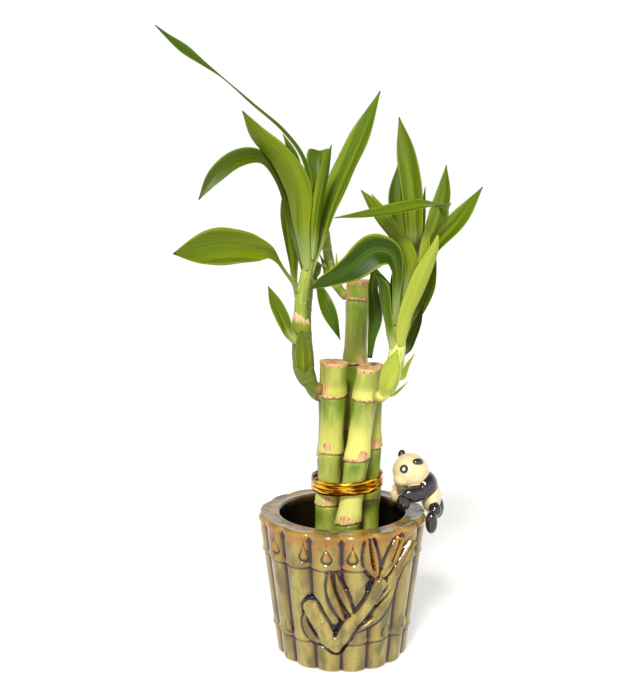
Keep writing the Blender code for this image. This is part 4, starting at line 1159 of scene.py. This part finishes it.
class BambooPotSettings(bpy.types.PropertyGroup):
    height: length_property("Height", 0.080, "Height of the pot")
    base_radius: length_property("Base radius", 0.0364, "Outer radius at the foot")
    rim_radius: length_property("Rim radius", 0.047, "Outer radius at the rim")
    bore_radius: length_property("Bore radius", 0.035, "Radius of the opening")
    bore_foot_radius: length_property("Bore foot radius", 0.029, "Radius of the hollow at its floor")
    floor: length_property("Floor", 0.006, "Height of the hollow's floor")
    culms: IntProperty(name="Culms", description="Moulded culms round the pot", default=16, min=3)
    steps_round: IntProperty(name="Steps round", description="Points round the pot", default=704, min=64)
    steps_up: IntProperty(name="Steps up", description="Rows of points up the wall", default=200, min=20)
    olive: colour_property("Olive glaze", "#5c5628", "Glaze on the culms")
    olive_light: colour_property("Olive glaze, light", "#978a44", "Thin olive glaze")
    amber: colour_property("Amber", "#9c6614", "Glaze where it breaks over an edge")
    # Painted shade: red-brown for the shade down the culms' rounded sides
    culm_side_shade: colour_property("Russet", "#644012", "Thin red-brown glaze down the sides of the culms")
    seam: colour_property("Seam", "#2a1a1e", "Glaze pooled in seams")
    deep_pool: colour_property("Deep pool", "#16142a", "Thickest glaze beside the branch")
    rim_grey: colour_property("Rim", "#5c5046", "Grey-mauve glaze on the rim")
    bore: colour_property("Bore", "#140e08", "Dark glaze inside")
    clay: colour_property("Clay", "#c8b090", "Bare clay of the foot")


class BambooPandaSettings(bpy.types.PropertyGroup):
    grain: length_property("Grain", 0.00045, "Size of the smallest detail")
    cream: colour_property("Cream", "#d8c89a", "Cream glaze")
    cream_shade: colour_property("Cream, shaded", "#d0b47c", "Cream glaze where it is thick")
    black: colour_property("Black", "#1c1618", "Black-brown paint")
    brown: colour_property("Brown", "#4a3a34", "Paint where it wore thin")
    eye: colour_property("Eye", "#f3f3f1", "White dot in each eye")


class BambooStageSettings(bpy.types.PropertyGroup):
    floor: colour_property("Floor", "#b2b0ac", "Pale floor")
    floor_glow: number_property("Floor glow", 0.55, "Light from under the floor")
    surround: number_property("Surround", 1.0, "Strength of the white surround")
    overhead: number_property("Overhead", 0.24, "Strength of the surround overhead")
    key: number_property("Key light", 4.1, "Strength of the main light")
    key_size: number_property("Key size", 11.0, "Width of the main light in degrees")
    fill: number_property("Fill light", 0.25, "Strength of the fill light")
    fill_size: number_property("Fill size", 60.0, "Width of the fill light in degrees")
    lens: number_property("Lens", 59.5, "Focal length in millimetres")
    tilt: number_property("Tilt", 9.3, "How far the camera looks down, in degrees")


# ---------------------------------------------------------------- operators


class BAMBOO_OT_leaves(bpy.types.Operator):
    """Builds every leaf and leaf sheath of the five side shoots"""

    bl_idname = "bamboo.leaves"
    bl_label = "Leaves"

    def execute(self, context):
        settings = context.scene.bamboo_leaves
        kinds = {
            "leaf": ("waxy_leaf", settings.blade, settings.light, settings.pale),
            "deep": ("waxy_leaf_deep", settings.deep, settings.deep_light, settings.pale),
            "old": ("waxy_leaf_old", settings.old, settings.old_light, settings.old),
            "sheath": ("waxy_leaf_sheath", settings.sheath, settings.sheath_light, settings.sheath_light),
        }
        surfaces = {kind: leaf_surface(settings, *row) for kind, row in kinds.items()}
        for name, row in LEAVES.items():
            build_leaf(name, row, surfaces[row[-1]], settings.thickness)
        build_cup(settings, cup_surface(settings))
        return {"FINISHED"}


class BAMBOO_OT_stalks(bpy.types.Operator):
    """Builds the five cut stalks"""

    bl_idname = "bamboo.stalks"
    bl_label = "Cut stalks"

    def execute(self, context):
        settings = context.scene.bamboo_stalks
        surface = stalk_surface(settings)
        for name, (foot, top, nodes) in STALKS.items():
            build_stalk(name, foot, top, nodes, surface, settings.radius)
        return {"FINISHED"}


class BAMBOO_OT_shoots(bpy.types.Operator):
    """Builds the side shoots that carry the leaves"""

    bl_idname = "bamboo.shoots"
    bl_label = "Side shoots"

    def execute(self, context):
        surface = shoot_surface(context.scene.bamboo_stalks)
        for name, line in SHOOTS.items():
            build_shoot(name, line, surface)
        return {"FINISHED"}


class BAMBOO_OT_tie(bpy.types.Operator):
    """Builds the gold foil tie round the stalks"""

    bl_idname = "bamboo.tie"
    bl_label = "Foil tie"

    def execute(self, context):
        build_tie(context.scene.bamboo_tie)
        return {"FINISHED"}


class BAMBOO_OT_pot(bpy.types.Operator):
    """Builds the glazed pot with its moulded culms and branch"""

    bl_idname = "bamboo.pot"
    bl_label = "Glazed pot"

    def execute(self, context):
        build_pot(context.scene.bamboo_pot)
        return {"FINISHED"}


class BAMBOO_OT_panda(bpy.types.Operator):
    """Builds the small glazed panda on the rim"""

    bl_idname = "bamboo.panda"
    bl_label = "Panda"

    def execute(self, context):
        build_panda(context.scene.bamboo_panda)
        return {"FINISHED"}


class BAMBOO_OT_stage(bpy.types.Operator):
    """Lays the pale floor, the soft lights and the camera"""

    bl_idname = "bamboo.stage"
    bl_label = "Floor, light and camera"

    def execute(self, context):
        settings = context.scene.bamboo_stage
        context.scene.view_settings.view_transform = "Standard"
        lay_floor(settings)
        context.scene.world = white_surround(settings)
        add_lights(settings)
        context.scene.camera = add_camera(settings)
        return {"FINISHED"}


class BAMBOO_PT_panel(bpy.types.Panel):
    """Lists the pieces of the potted lucky bamboo and their settings"""

    bl_idname = "BAMBOO_PT_panel"
    bl_label = "Potted lucky bamboo"
    bl_space_type = "VIEW_3D"
    bl_region_type = "UI"
    bl_category = "Bamboo"

    def draw(self, context):
        for operator, group in STEPS:
            box = self.layout.box()
            box.operator(operator.bl_idname)
            if group:
                settings = getattr(context.scene, group)
                for label in settings.__annotations__:
                    box.prop(settings, label)


STEPS = (
    (BAMBOO_OT_pot, "bamboo_pot"),
    (BAMBOO_OT_panda, "bamboo_panda"),
    (BAMBOO_OT_stalks, "bamboo_stalks"),
    (BAMBOO_OT_tie, "bamboo_tie"),
    (BAMBOO_OT_shoots, None),
    (BAMBOO_OT_leaves, "bamboo_leaves"),
    (BAMBOO_OT_stage, "bamboo_stage"),
)
GROUPS = {
    "bamboo_pot": BambooPotSettings,
    "bamboo_panda": BambooPandaSettings,
    "bamboo_stalks": BambooStalkSettings,
    "bamboo_tie": BambooTieSettings,
    "bamboo_leaves": BambooLeafSettings,
    "bamboo_stage": BambooStageSettings,
}


def register():
    for name, group in GROUPS.items():
        bpy.utils.register_class(group)
        setattr(bpy.types.Scene, name, PointerProperty(type=group))
    for operator, _ in STEPS:
        bpy.utils.register_class(operator)
    bpy.utils.register_class(BAMBOO_PT_panel)


def unregister():
    bpy.utils.unregister_class(BAMBOO_PT_panel)
    for operator, _ in reversed(STEPS):
        bpy.utils.unregister_class(operator)
    for name, group in reversed(GROUPS.items()):
        delattr(bpy.types.Scene, name)
        bpy.utils.unregister_class(group)


def main():
    register()
    bpy.ops.bamboo.pot()
    bpy.ops.bamboo.panda()
    bpy.ops.bamboo.stalks()
    bpy.ops.bamboo.tie()
    bpy.ops.bamboo.shoots()
    bpy.ops.bamboo.leaves()
    bpy.ops.bamboo.stage()


if __name__ == "__main__":
    main()
